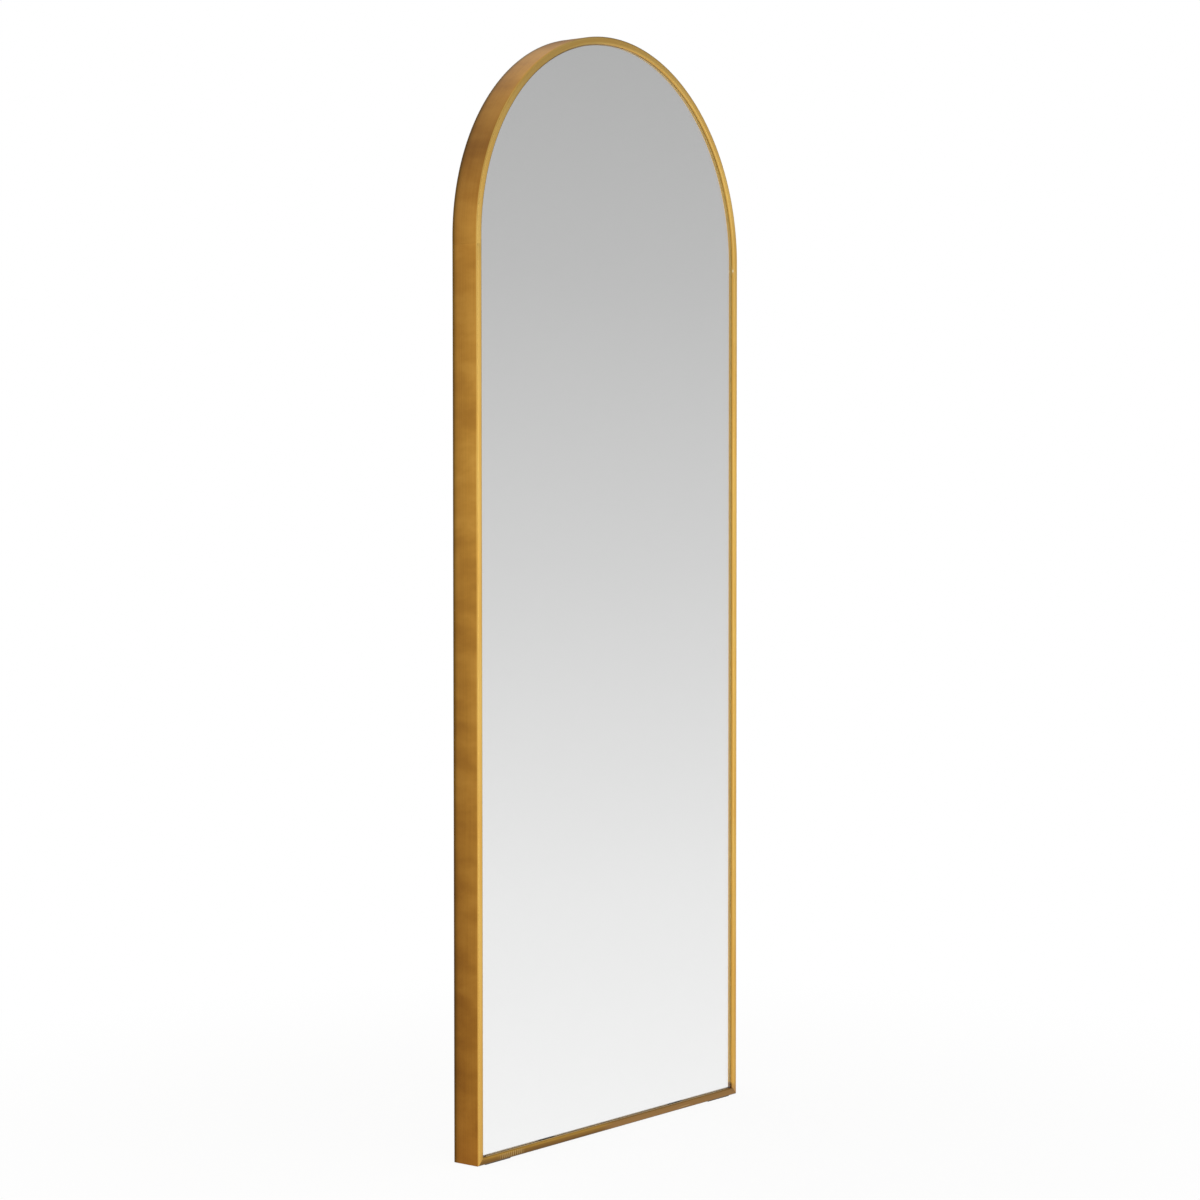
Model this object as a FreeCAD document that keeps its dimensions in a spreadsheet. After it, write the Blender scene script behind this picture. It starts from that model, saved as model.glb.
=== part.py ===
import FreeCAD, Part

# Arched floor mirror: a frame rolled and welded from rectangular steel tube, with a pane taped to a
# board that screws to tabs inside the frame, and three hinged hanging rings on the back.
#
# Axes: +X to the right as seen from the front, +Y towards the wall, +Z up.
# Origin: on the floor, under the middle of the frame. Millimetres.

import math
import os

import Sketcher

# ---------------------------------------------------------------- driving sizes
SIZES = {
    # frame
    "frame_width": 685.8,
    "frame_height": 1778.0,
    "tube_depth": 50.8,
    "tube_face": 12.7,
    "tube_wall": 1.5,
    "tube_outer_radius": 2.4,
    "tube_inner_radius": 0.9,
    "arch_tail": 12.0,
    # sleeves inside the two welded joints
    "sleeve_gap": 0.3,
    "sleeve_wall": 1.2,
    "sleeve_in_arch": 10.0,
    "sleeve_in_stile": 30.0,
    # pane, film, tape and board, from the front to the back
    "pane_recess": 3.2,
    "pane_thickness": 5.0,
    "pane_edge_gap": 0.5,
    "film_thickness": 0.2,
    "film_edge_gap": 2.0,
    "tape_thickness": 1.5,
    "tape_width": 20.0,
    "tape_spacing": 125.0,
    "tape_count": 5,
    "tape_margin": 30.0,
    "board_thickness": 9.0,
    "board_edge_gap": 1.5,
    "setting_block_length": 40.0,
    "setting_block_offset": 171.0,
    # tabs welded inside the frame
    "tab_length": 25.0,
    "tab_reach": 20.0,
    "tab_thickness": 2.0,
    "tab_hole_reach": 12.0,
    "tab_hole_clearance": 0.5,
    "arch_tab_count": 5,
    "side_tab_count": 4,
    "side_tab_margin": 150.0,
    "bottom_tab_offset": 171.0,
    # pan-head screws
    "screw_diameter": 3.5,
    "screw_head_diameter": 8.0,
    "screw_head_height": 2.4,
    "screw_head_round": 1.0,
    "screw_bite": 8.0,
    "pilot_clearance": 0.05,
    # hanging rings and their straps
    "ring_wire": 3.5,
    "ring_inner_width": 20.0,
    "ring_length": 20.0,
    "ring_bend": 3.5,
    "ring_clearance": 0.05,
    "ring_seat_gap": 0.1,
    "strap_sheet": 1.2,
    "strap_width": 16.0,
    "strap_length": 57.0,
    "strap_first_hole": 30.0,
    "strap_hole_spacing": 18.0,
    "strap_corner": 4.0,
    "hanger_inset": 97.2,
    "hanger_drop": 136.1,
    "tether_drop": 139.0,
    # pads
    "bumper_diameter": 8.0,
    "bumper_thickness": 2.0,
    "bumper_round": 0.6,
    "bumper_height": 150.0,
    "bumper_arch_angle": 60.0,
    "floor_pad_thickness": 1.0,
    "floor_pad_length": 60.0,
    "floor_pad_margin": 2.5,
    "floor_pad_inset": 20.0,
}

doc = FreeCAD.newDocument("floor_mirror")
sheet = doc.addObject("Spreadsheet::Sheet", "sizes")
for row, (alias, number) in enumerate(SIZES.items(), start=1):
    sheet.set(f"A{row}", alias)
    sheet.set(f"B{row}", str(number))
    sheet.setAlias(f"B{row}", alias)
doc.recompute()


# ---------------------------------------------------------------- measures
class Measure:
    """A size or a sum of sizes: its number now, and the expression over the sheet that keeps it."""

    def __init__(self, number, text):
        self.number = number
        self.text = text

    def joined(self, sign, other, result):
        return Measure(result, f"({self.text} {sign} {text_of(other)})")

    def __add__(self, other):
        return self.joined("+", other, self.number + number_of(other))

    def __sub__(self, other):
        return self.joined("-", other, self.number - number_of(other))

    def __mul__(self, other):
        return self.joined("*", other, self.number * number_of(other))

    def __truediv__(self, other):
        return self.joined("/", other, self.number / number_of(other))

    def __neg__(self):
        return Measure(-self.number, f"(0 - {self.text})")

    def root(self):
        return Measure(math.sqrt(self.number), f"sqrt({self.text})")

    def arcsine(self):
        """The angle, in degrees, whose sine this is."""
        return Measure(math.degrees(math.asin(self.number)), f"asin({self.text})")

    def cosine(self):
        """The cosine of this many degrees."""
        return Measure(math.cos(math.radians(self.number)), f"cos({self.text})")

    def sine(self):
        """The sine of this many degrees."""
        return Measure(math.sin(math.radians(self.number)), f"sin({self.text})")


def number_of(value):
    return value.number if isinstance(value, Measure) else value


def text_of(value):
    return value.text if isinstance(value, Measure) else repr(value)


def size(alias):
    """The measure that is one cell of the sheet."""
    return Measure(SIZES[alias], f"sizes.{alias}")


ZERO = Measure(0.0, "0")

# Heights and half widths of the frame
half_width = size("frame_width") / 2
frame_bottom = size("floor_pad_thickness")
spring_height = frame_bottom + size("frame_height") - half_width
joint_height = spring_height - size("arch_tail")
inner_half_width = half_width - size("tube_face")
rail_top = frame_bottom + size("tube_face")

# Layers from the front to the back. The frame and its wall pads are centred on the origin.
frame_front = -(size("tube_depth") + size("bumper_thickness")) / 2
frame_rear = frame_front + size("tube_depth")
pane_front = frame_front + size("pane_recess")
film_front = pane_front + size("pane_thickness")
tape_front = film_front + size("film_thickness")
board_front = tape_front + size("tape_thickness")
board_rear = board_front + size("board_thickness")
tab_rear = board_rear + size("tab_thickness")
pane_half_width = inner_half_width - size("pane_edge_gap")
pane_bottom = rail_top + size("pane_edge_gap")

# Hanging hardware. A strap is one sheet folded over the ring's bar, so it lies two sheets thick.
bore_radius = size("ring_wire") / 2 + size("ring_clearance")
barrel_radius = bore_radius + size("strap_sheet")
strap_thickness = size("strap_sheet") * 2
strap_rear = board_rear + strap_thickness
pivot_depth = board_rear + barrel_radius


# ---------------------------------------------------------------- sketching
def new_body(label):
    return doc.addObject("PartDesign::Body", label)


def base_plane(body, role):
    return next(item for item in body.Origin.OriginFeatures if item.Role == role)


def sketch_on(body, role, name, height=ZERO):
    """A sketch on one of the body's own base planes, moved along the plane's normal by height."""
    sketch = body.newObject("Sketcher::SketchObject", name)
    sketch.AttachmentSupport = [(base_plane(body, role), "")]
    sketch.MapMode = "FlatFace"
    sketch.setExpression(".AttachmentOffset.Base.z", height.text)
    return sketch


def sketch_facing_front(body, name, depth):
    """A sketch seen from the front, with local X and Y along +X and +Z, at a depth along +Y."""
    return sketch_on(body, "XZ_Plane", name, -depth)


START, END, CENTRE = 1, 2, 3
ORIGIN = (-1, 1)


def constrain(sketch, *parts):
    return sketch.addConstraint(Sketcher.Constraint(*parts))


def hold(sketch, kind, parts, measure):
    """A dimension that follows a measure."""
    index = constrain(sketch, kind, *parts, measure.number)
    sketch.setExpression(f"Constraints[{index}]", measure.text)


def hold_at(sketch, vertex, x, y):
    """Hold a vertex at a place, with each distance taken the way that keeps it positive."""
    for kind, measure in (("DistanceX", x), ("DistanceY", y)):
        if measure.number < 0:
            hold(sketch, kind, (*vertex, *ORIGIN), -measure)
        else:
            hold(sketch, kind, (*ORIGIN, *vertex), measure)


def vector(x, y):
    return FreeCAD.Vector(number_of(x), number_of(y), 0)


def add_circle(sketch, x, y, radius):
    circle = sketch.addGeometry(Part.Circle(vector(x, y), FreeCAD.Vector(0, 0, 1), radius.number), False)
    hold_at(sketch, (circle, CENTRE), x, y)
    hold(sketch, "Radius", (circle,), radius)


class Corner:
    """A sharp corner of an outline."""

    def __init__(self, x, y):
        self.entry = self.exit = vector(x, y)
        self.place = (x, y)

    def draw(self, sketch):
        return None


class Arc:
    """A round stretch of an outline, run anticlockwise between two multiples of 90 degrees."""

    def __init__(self, x, y, radius, begin, finish):
        self.place = (x, y)
        self.radius = radius
        self.angles = (math.radians(begin), math.radians(finish))
        self.turns = (begin, finish)
        self.entry, self.exit = (
            vector(x.number + radius.number * math.cos(a), y.number + radius.number * math.sin(a))
            for a in self.angles
        )

    def draw(self, sketch):
        circle = Part.Circle(vector(*self.place), FreeCAD.Vector(0, 0, 1), self.radius.number)
        arc = sketch.addGeometry(Part.ArcOfCircle(circle, *self.angles), False)
        hold_at(sketch, (arc, CENTRE), *self.place)
        hold(sketch, "Radius", (arc,), self.radius)
        for vertex, turn in zip((START, END), self.turns):
            level = "Horizontal" if turn % 180 == 0 else "Vertical"
            constrain(sketch, level, arc, vertex, arc, CENTRE)
        return arc


def add_outline(sketch, items):
    """A closed outline through corners and arcs, in order, with a straight line between each two."""
    arcs = [item.draw(sketch) for item in items]
    lines = []
    for item, following in zip(items, items[1:] + items[:1]):
        lines.append(sketch.addGeometry(Part.LineSegment(item.exit, following.entry), False))
    for index, item in enumerate(items):
        before, after = lines[index - 1], lines[index]
        if arcs[index] is None:
            constrain(sketch, "Coincident", before, END, after, START)
            hold_at(sketch, (after, START), *item.place)
        else:
            constrain(sketch, "Coincident", before, END, arcs[index], START)
            constrain(sketch, "Coincident", arcs[index], END, after, START)


def add_rectangle(sketch, left, right, low, high):
    corners = ((left, low), (right, low), (right, high), (left, high))
    add_outline(sketch, [Corner(x, y) for x, y in corners])


def add_rounded_rectangle(sketch, left, right, low, high, radius):
    x_low, x_high = left + radius, right - radius
    y_low, y_high = low + radius, high - radius
    add_outline(
        sketch,
        [
            Arc(x_low, y_low, radius, 180, 270),
            Arc(x_high, y_low, radius, 270, 360),
            Arc(x_high, y_high, radius, 0, 90),
            Arc(x_low, y_high, radius, 90, 180),
        ],
    )


# ---------------------------------------------------------------- features
def add_pad(body, sketch, length, reverse=False, symmetric=False):
    pad = body.newObject("PartDesign::Pad", sketch.Name + "_pad")
    pad.Profile = sketch
    pad.Reversed = reverse
    pad.SideType = "Symmetric" if symmetric else "One side"
    pad.setExpression("Length", length.text)
    doc.recompute()
    return pad


def add_pocket(body, sketch, length, reverse=False, symmetric=False):
    """A cut that has to take material away."""
    volume_before = body.Shape.Volume
    pocket = body.newObject("PartDesign::Pocket", sketch.Name + "_cut")
    pocket.Profile = sketch
    pocket.Reversed = reverse
    pocket.SideType = "Symmetric" if symmetric else "One side"
    pocket.setExpression("Length", length.text)
    doc.recompute()
    if not body.Shape.Volume < volume_before:
        raise RuntimeError(f"{pocket.Name} cuts nothing")
    return pocket


def add_fillet(body, feature, edges, radius):
    fillet = body.newObject("PartDesign::Fillet", feature.Name + "_round")
    fillet.Base = (feature, edges)
    fillet.setExpression("Radius", radius.text)
    doc.recompute()
    return fillet


def edges_where(feature, test):
    """Names of a feature's edges that pass a test."""
    return [f"Edge{n}" for n, edge in enumerate(feature.Shape.Edges, start=1) if test(edge)]


def round_rims(body, feature, depth, radius):
    """Round the circular edges that lie at a depth along +Y."""

    def is_rim(edge):
        box = edge.BoundBox
        level = abs(box.YMin - depth.number) < 1e-3 and abs(box.YMax - depth.number) < 1e-3
        return level and isinstance(edge.Curve, Part.Circle)

    return add_fillet(body, feature, edges_where(feature, is_rim), radius)


# ---------------------------------------------------------------- frame tubes
def add_tube_section(sketch, across_low, across_high, depth_first):
    """The tube's hollow section, between two measures across its face. depth_first turns it round."""
    for inset, radius in ((ZERO, size("tube_outer_radius")), (size("tube_wall"), size("tube_inner_radius"))):
        low, high = across_low + inset, across_high - inset
        front, rear = frame_front + inset, frame_rear - inset
        if depth_first:
            add_rounded_rectangle(sketch, front, rear, low, high, radius)
        else:
            add_rounded_rectangle(sketch, low, high, front, rear, radius)


def make_arch_tube():
    body = new_body("arch_tube")
    section = sketch_on(body, "XY_Plane", "arch_section", spring_height)
    add_tube_section(section, -half_width, -inner_half_width, depth_first=False)
    doc.recompute()
    bend = body.newObject("PartDesign::Revolution", "arch_bend")
    bend.Profile = section
    bend.ReferenceAxis = (section, ["V_Axis"])
    bend.Angle = 180
    doc.recompute()
    tail = add_pad(body, section, size("arch_tail"), reverse=True)
    other_tail = body.newObject("PartDesign::Mirrored", "arch_other_tail")
    other_tail.Originals = [tail]
    other_tail.MirrorPlane = (base_plane(body, "YZ_Plane"), [""])
    body.Tip = other_tail
    return body


def outward(side, measure):
    """A measure along +X on the right side (1), or along -X on the left side (-1)."""
    return measure if side > 0 else -measure


def make_stile(label, side):
    """A straight tube whose lower end is cut at 45 degrees from its outer corner upwards."""
    body = new_body(label)
    section = sketch_on(body, "XY_Plane", label + "_section", frame_bottom)
    low, high = sorted((outward(side, half_width), outward(side, inner_half_width)), key=number_of)
    add_tube_section(section, low, high, depth_first=False)
    add_pad(body, section, joint_height - frame_bottom)
    mitre = sketch_facing_front(body, label + "_mitre", ZERO)
    corners = (
        (outward(side, half_width), frame_bottom),
        (outward(side, inner_half_width), frame_bottom),
        (outward(side, inner_half_width), rail_top),
    )
    add_outline(mitre, [Corner(x, y) for x, y in corners])
    add_pocket(body, mitre, size("tube_depth") * 2, symmetric=True)
    return body


def make_bottom_rail():
    """A straight tube across the frame, cut at 45 degrees at both ends."""
    body = new_body("bottom_rail")
    section = sketch_on(body, "YZ_Plane", "rail_section")
    add_tube_section(section, frame_bottom, rail_top, depth_first=True)
    add_pad(body, section, size("frame_width"), symmetric=True)
    for side, name in ((-1, "left"), (1, "right")):
        mitre = sketch_facing_front(body, f"rail_{name}_mitre", ZERO)
        corners = (
            (outward(side, half_width), frame_bottom),
            (outward(side, half_width), rail_top),
            (outward(side, inner_half_width), rail_top),
        )
        add_outline(mitre, [Corner(x, y) for x, y in corners])
        add_pocket(body, mitre, size("tube_depth") * 2, symmetric=True)
    return body


def make_splice_sleeve(label, side):
    """A short thin tube that slips inside both tubes at a welded joint, its corners as round as theirs."""
    body = new_body(label)
    section = sketch_on(body, "XY_Plane", label + "_section", joint_height - size("sleeve_in_stile"))
    low, high = sorted((outward(side, half_width), outward(side, inner_half_width)), key=number_of)
    for inset in (
        size("tube_wall") + size("sleeve_gap"),
        size("tube_wall") + size("sleeve_gap") + size("sleeve_wall"),
    ):
        front, rear = frame_front + inset, frame_rear - inset
        add_rounded_rectangle(section, low + inset, high - inset, front, rear, size("tube_inner_radius"))
    add_pad(body, section, size("sleeve_in_stile") + size("sleeve_in_arch"))
    return body


# ---------------------------------------------------------------- pane and board
def make_arched_sheet(label, half, bottom, front, thickness):
    """A flat sheet with a half-round top, from its front face backwards."""
    body = new_body(label)
    outline = sketch_facing_front(body, label + "_outline", front)
    corners = [Corner(-half, bottom), Corner(half, bottom)]
    add_outline(outline, corners + [Arc(ZERO, spring_height, half, 0, 180)])
    add_pad(body, outline, thickness, reverse=True)
    return body


def make_mounting_tape():
    """Upright strips side by side, each ending short of the arch and of the pane's lower edge."""
    body = new_body("mounting_tape")
    strips = sketch_facing_front(body, "tape_strips", tape_front)
    reach = pane_half_width - size("tape_margin")
    for index in range(SIZES["tape_count"]):
        steps = index - (SIZES["tape_count"] - 1) / 2
        middle = size("tape_spacing") * steps
        left, right = middle - size("tape_width") / 2, middle + size("tape_width") / 2
        outer_edge = max(left, right, key=lambda edge: abs(edge.number))
        top = spring_height + (reach * reach - outer_edge * outer_edge).root()
        add_rectangle(strips, left, right, pane_bottom + size("tape_margin"), top)
    add_pad(body, strips, size("tape_thickness"), reverse=True)
    return body


def make_setting_blocks():
    """Thin blocks between the bottom rail and the pane's lower edge."""
    body = new_body("setting_blocks")
    faces = sketch_facing_front(body, "setting_block_faces", pane_front)
    for side in (-1, 1):
        middle = outward(side, size("setting_block_offset"))
        half = size("setting_block_length") / 2
        add_rectangle(faces, middle - half, middle + half, rail_top, pane_bottom)
    add_pad(body, faces, size("pane_thickness"), reverse=True)
    return body


# ---------------------------------------------------------------- places of holes and screws
def arch_tab_angles():
    """Angles of the arch's tabs from its right spring, in degrees, evenly spread."""
    count = SIZES["arch_tab_count"]
    return [180.0 * (index + 1) / (count + 1) for index in range(count)]


def on_arch(radius, angle):
    """A place on a circle about the arch's centre."""
    angle = Measure(angle, repr(angle)) if not isinstance(angle, Measure) else angle
    return radius * angle.cosine(), spring_height + radius * angle.sine()


def arch_screw_places():
    radius = inner_half_width - size("tab_hole_reach")
    return [on_arch(radius, angle) for angle in arch_tab_angles()]


# The stiles' tabs are spread evenly, the first and the last at the margin from the stile's two ends.
side_tab_first = frame_bottom + size("side_tab_margin")
side_tab_span = joint_height - side_tab_first - size("side_tab_margin")
side_tab_spacing = side_tab_span / (SIZES["side_tab_count"] - 1)


def side_screw_places(side):
    x = outward(side, inner_half_width - size("tab_hole_reach"))
    return [(x, side_tab_first + side_tab_spacing * row) for row in range(SIZES["side_tab_count"])]


def bottom_screw_places():
    z = rail_top + size("tab_hole_reach")
    return [(outward(side, size("bottom_tab_offset")), z) for side in (-1, 1)]


def tab_screw_places():
    return arch_screw_places() + side_screw_places(-1) + side_screw_places(1) + bottom_screw_places()


# Places of the rings' axes: a pair below the arch's spring, and one under the top of the arch.
hanger_offset = inner_half_width - size("hanger_inset")
hanger_height = spring_height - size("hanger_drop")
HANGERS = {
    "left_hanger": (-hanger_offset, hanger_height),
    "right_hanger": (hanger_offset, hanger_height),
    "tether": (ZERO, frame_bottom + size("frame_height") - size("tether_drop")),
}


def strap_hole_drops():
    """Distances of a strap's two holes below the ring's axis."""
    return [size("strap_first_hole"), size("strap_first_hole") + size("strap_hole_spacing")]


def strap_screw_places():
    return [(x, z - drop) for x, z in HANGERS.values() for drop in strap_hole_drops()]


def add_holes(body, name, places, radius, depth, length, symmetric=False):
    """Round holes along Y, cut from a depth towards the front."""
    sketch = sketch_facing_front(body, name, depth)
    for x, z in places:
        add_circle(sketch, x, z, radius)
    add_pocket(body, sketch, length, reverse=True, symmetric=symmetric)


# ---------------------------------------------------------------- board, tabs and screws
screw_radius = size("screw_diameter") / 2
tab_hole_radius = screw_radius + size("tab_hole_clearance")


def make_backing_board():
    board_half = inner_half_width - size("board_edge_gap")
    board_bottom = rail_top + size("board_edge_gap")
    body = make_arched_sheet("backing_board", board_half, board_bottom, board_front, size("board_thickness"))
    places = tab_screw_places() + strap_screw_places()
    pilot_radius = screw_radius + size("pilot_clearance")
    add_holes(body, "pilot_holes", places, pilot_radius, board_rear, size("screw_bite"))
    return body


def drill_tabs(body, places):
    length = size("tab_thickness") * 4
    add_holes(body, body.Name + "_holes", places, tab_hole_radius, board_rear, length, symmetric=True)


def make_arch_tabs():
    """Tabs whose welded edge follows the arch: sectors of a flat ring, one turned from the next."""
    body = new_body("arch_tabs")
    section = sketch_on(body, "XY_Plane", "arch_tab_section", spring_height)
    add_rectangle(section, inner_half_width - size("tab_reach"), inner_half_width, board_rear, tab_rear)
    first, second = arch_tab_angles()[:2]
    # The first tab is turned up from the right spring to its own angle.
    section.AttachmentOffset = FreeCAD.Placement(
        FreeCAD.Vector(0, 0, spring_height.number), FreeCAD.Rotation(FreeCAD.Vector(0, -1, 0), first)
    )
    section.setExpression(".AttachmentOffset.Base.z", spring_height.text)
    doc.recompute()
    sector = body.newObject("PartDesign::Revolution", "arch_tab_sector")
    sector.Profile = section
    sector.ReferenceAxis = (section, ["V_Axis"])
    sector.Midplane = True
    sector.setExpression("Angle", (size("tab_length") / inner_half_width * math.degrees(1)).text)
    doc.recompute()
    pattern = body.newObject("PartDesign::PolarPattern", "arch_tab_pattern")
    pattern.Originals = [sector]
    pattern.Axis = (section, ["V_Axis"])
    pattern.Mode = "Spacing"
    pattern.Offset = second - first
    pattern.Reversed = True
    pattern.Occurrences = SIZES["arch_tab_count"]
    body.Tip = pattern
    doc.recompute()
    drill_tabs(body, arch_screw_places())
    return body


def make_side_tabs(label, side):
    """Flat tabs up one stile."""
    body = new_body(label)
    section = sketch_on(body, "XY_Plane", label + "_section", side_tab_first)
    root = outward(side, inner_half_width)
    tip = outward(side, inner_half_width - size("tab_reach"))
    low, high = sorted((root, tip), key=number_of)
    add_rectangle(section, low, high, board_rear, tab_rear)
    pad = add_pad(body, section, size("tab_length"), symmetric=True)
    pattern = body.newObject("PartDesign::LinearPattern", label + "_pattern")
    pattern.Originals = [pad]
    pattern.Direction = (section, ["N_Axis"])
    pattern.Mode = "Spacing"
    pattern.setExpression("Offset", side_tab_spacing.text)
    pattern.Occurrences = SIZES["side_tab_count"]
    body.Tip = pattern
    doc.recompute()
    drill_tabs(body, side_screw_places(side))
    return body


def make_bottom_tabs():
    """Flat tabs that stand on the bottom rail."""
    body = new_body("bottom_tabs")
    section = sketch_on(body, "YZ_Plane", "bottom_tab_section", size("bottom_tab_offset"))
    add_rectangle(section, board_rear, tab_rear, rail_top, rail_top + size("tab_reach"))
    pad = add_pad(body, section, size("tab_length"), symmetric=True)
    other = body.newObject("PartDesign::Mirrored", "bottom_tab_mirrored")
    other.Originals = [pad]
    other.MirrorPlane = (base_plane(body, "YZ_Plane"), [""])
    body.Tip = other
    doc.recompute()
    drill_tabs(body, bottom_screw_places())
    return body


def make_screws(label, places, seat):
    """Pan-head screws driven from the back: each head lies on the seat, each shank bites the board."""
    body = new_body(label)
    heads = sketch_facing_front(body, label + "_heads", seat)
    for x, z in places:
        add_circle(heads, x, z, size("screw_head_diameter") / 2)
    pad = add_pad(body, heads, size("screw_head_height"), reverse=True)
    round_rims(body, pad, seat + size("screw_head_height"), size("screw_head_round"))
    shanks = sketch_facing_front(body, label + "_shanks", seat)
    for x, z in places:
        add_circle(shanks, x, z, screw_radius)
    add_pad(body, shanks, seat - board_rear + size("screw_bite"))
    return body


# ---------------------------------------------------------------- hanging rings
def make_strap(label, x, z):
    """A sheet folded over the ring's bar. It is drawn about the bar's axis and then put in place."""
    body = new_body(label)
    plate = sketch_on(body, "YZ_Plane", label + "_plate")
    add_rectangle(plate, -barrel_radius, strap_thickness - barrel_radius, -size("strap_length"), ZERO)
    pad = add_pad(body, plate, size("strap_width"), symmetric=True)

    def is_end_corner(edge):
        box = edge.BoundBox
        level = abs(box.ZMax + SIZES["strap_length"]) < 1e-3
        return level and box.YLength > strap_thickness.number / 2

    add_fillet(body, pad, edges_where(pad, is_end_corner), size("strap_corner"))
    barrel = sketch_on(body, "YZ_Plane", label + "_barrel")
    add_circle(barrel, ZERO, ZERO, barrel_radius)
    add_pad(body, barrel, size("strap_width"), symmetric=True)
    bore = sketch_on(body, "YZ_Plane", label + "_bore")
    add_circle(bore, ZERO, ZERO, bore_radius)
    add_pocket(body, bore, size("strap_width") * 2, symmetric=True)
    places = [(ZERO, -drop) for drop in strap_hole_drops()]
    add_holes(body, label + "_holes", places, tab_hole_radius, ZERO, barrel_radius * 4, symmetric=True)
    put_at(body, x, z, ZERO)
    return body


def put_at(body, x, z, turn):
    """Put a body's own origin on a ring's axis, turned about X by an angle in degrees."""
    body.Placement = FreeCAD.Placement(
        FreeCAD.Vector(x.number, pivot_depth.number, z.number),
        FreeCAD.Rotation(FreeCAD.Vector(1, 0, 0), turn.number),
    )
    body.setExpression(".Placement.Base.x", x.text)
    body.setExpression(".Placement.Base.y", pivot_depth.text)
    body.setExpression(".Placement.Base.z", z.text)
    if turn is not ZERO:
        body.setExpression(".Placement.Rotation.Angle", turn.text)


def make_ring(label, x, z):
    """A D of round wire that hangs from its straight bar, its bow resting just clear of the strap."""
    body = new_body(label)
    leg = size("ring_inner_width") / 2 + size("ring_wire") / 2
    bend = size("ring_bend")
    route = sketch_on(body, "XZ_Plane", label + "_route")
    add_outline(
        route,
        [
            Corner(ZERO, ZERO),
            Arc(-(leg - bend), -bend, bend, 90, 180),
            Arc(ZERO, -(size("ring_length") - leg), leg, 180, 360),
            Arc(leg - bend, -bend, bend, 0, 90),
        ],
    )
    wire = sketch_on(body, "YZ_Plane", label + "_wire")
    add_circle(wire, ZERO, ZERO, size("ring_wire") / 2)
    doc.recompute()
    pipe = body.newObject("PartDesign::AdditivePipe", label + "_pipe")
    pipe.Profile = wire
    pipe.Spine = (route, [""])
    doc.recompute()
    # The bow comes nearest to the strap where it crosses the strap's long edges.
    half_strap = size("strap_width") / 2
    seat_drop = size("ring_length") - leg + (leg * leg - half_strap * half_strap).root()
    seat_height = strap_thickness + size("ring_seat_gap") + size("ring_wire") / 2 - barrel_radius
    put_at(body, x, z, (seat_height / seat_drop).arcsine())
    return body


# ---------------------------------------------------------------- pads
def make_wall_bumpers():
    """Round pads on the frame's rear face: two on the arch and two low on the stiles."""
    body = new_body("wall_bumpers")
    faces = sketch_facing_front(body, "bumper_faces", frame_rear)
    middle = half_width - size("tube_face") / 2
    upper = on_arch(middle, size("bumper_arch_angle"))
    low = frame_bottom + size("bumper_height")
    for x, z in (upper, (-upper[0], upper[1]), (middle, low), (-middle, low)):
        add_circle(faces, x, z, size("bumper_diameter") / 2)
    pad = add_pad(body, faces, size("bumper_thickness"), reverse=True)
    round_rims(body, pad, frame_rear + size("bumper_thickness"), size("bumper_round"))
    return body


def make_floor_pads():
    """Two thin pads under the bottom rail, one near each end, almost as deep as the tube."""
    body = new_body("floor_pads")
    faces = sketch_on(body, "XY_Plane", "floor_pad_faces")
    margin = size("floor_pad_margin")
    outer = half_width - size("floor_pad_inset")
    inner = outer - size("floor_pad_length")
    for low, high in ((-outer, -inner), (inner, outer)):
        add_rectangle(faces, low, high, frame_front + margin, frame_rear - margin)
    add_pad(body, faces, size("floor_pad_thickness"))
    return body


# ---------------------------------------------------------------- assembly
film_half = pane_half_width - size("film_edge_gap")
film_bottom = pane_bottom + size("film_edge_gap")

nodes = [
    make_arch_tube(),
    make_stile("left_stile", -1),
    make_stile("right_stile", 1),
    make_bottom_rail(),
    make_splice_sleeve("left_splice_sleeve", -1),
    make_splice_sleeve("right_splice_sleeve", 1),
    make_arched_sheet("mirror_glass", pane_half_width, pane_bottom, pane_front, size("pane_thickness")),
    make_arched_sheet("silver_film", film_half, film_bottom, film_front, size("film_thickness")),
    make_mounting_tape(),
    make_backing_board(),
    make_setting_blocks(),
    make_arch_tabs(),
    make_side_tabs("left_tabs", -1),
    make_side_tabs("right_tabs", 1),
    make_bottom_tabs(),
    make_screws("tab_screws", tab_screw_places(), tab_rear),
    make_screws("hanger_screws", strap_screw_places(), strap_rear),
    make_wall_bumpers(),
    make_floor_pads(),
]
for name, (pivot_x, pivot_z) in HANGERS.items():
    nodes.append(make_strap(name + "_strap", pivot_x, pivot_z))
    nodes.append(make_ring(name + "_ring", pivot_x, pivot_z))

doc.recompute()
for item in doc.Objects:
    if "Invalid" in item.State or "Error" in item.State:
        raise RuntimeError(f"{item.Name} failed: {item.State}")

os.makedirs("parts", exist_ok=True)
for node in nodes:
    shape = node.Shape
    if shape.isNull() or not shape.isValid():
        raise RuntimeError(f"{node.Label} has no valid shape")
    shape.exportStep(f"parts/{node.Label}.step")
    print(f"{node.Label}: {len(shape.Solids)} solid(s), {shape.Volume / 1000:.3f} cm3")
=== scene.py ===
"""Looks of the arched leaning floor mirror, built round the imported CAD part.

Metres, in the part's own frame: X to the right as seen from the front, Y to the back, Z up,
with the floor at Z 0. Every new surface is worked out with numpy on a grid of two parameters.
"""

import sys
import logging
import math
from collections.abc import Callable
from dataclasses import dataclass, field
from enum import Enum

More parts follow.
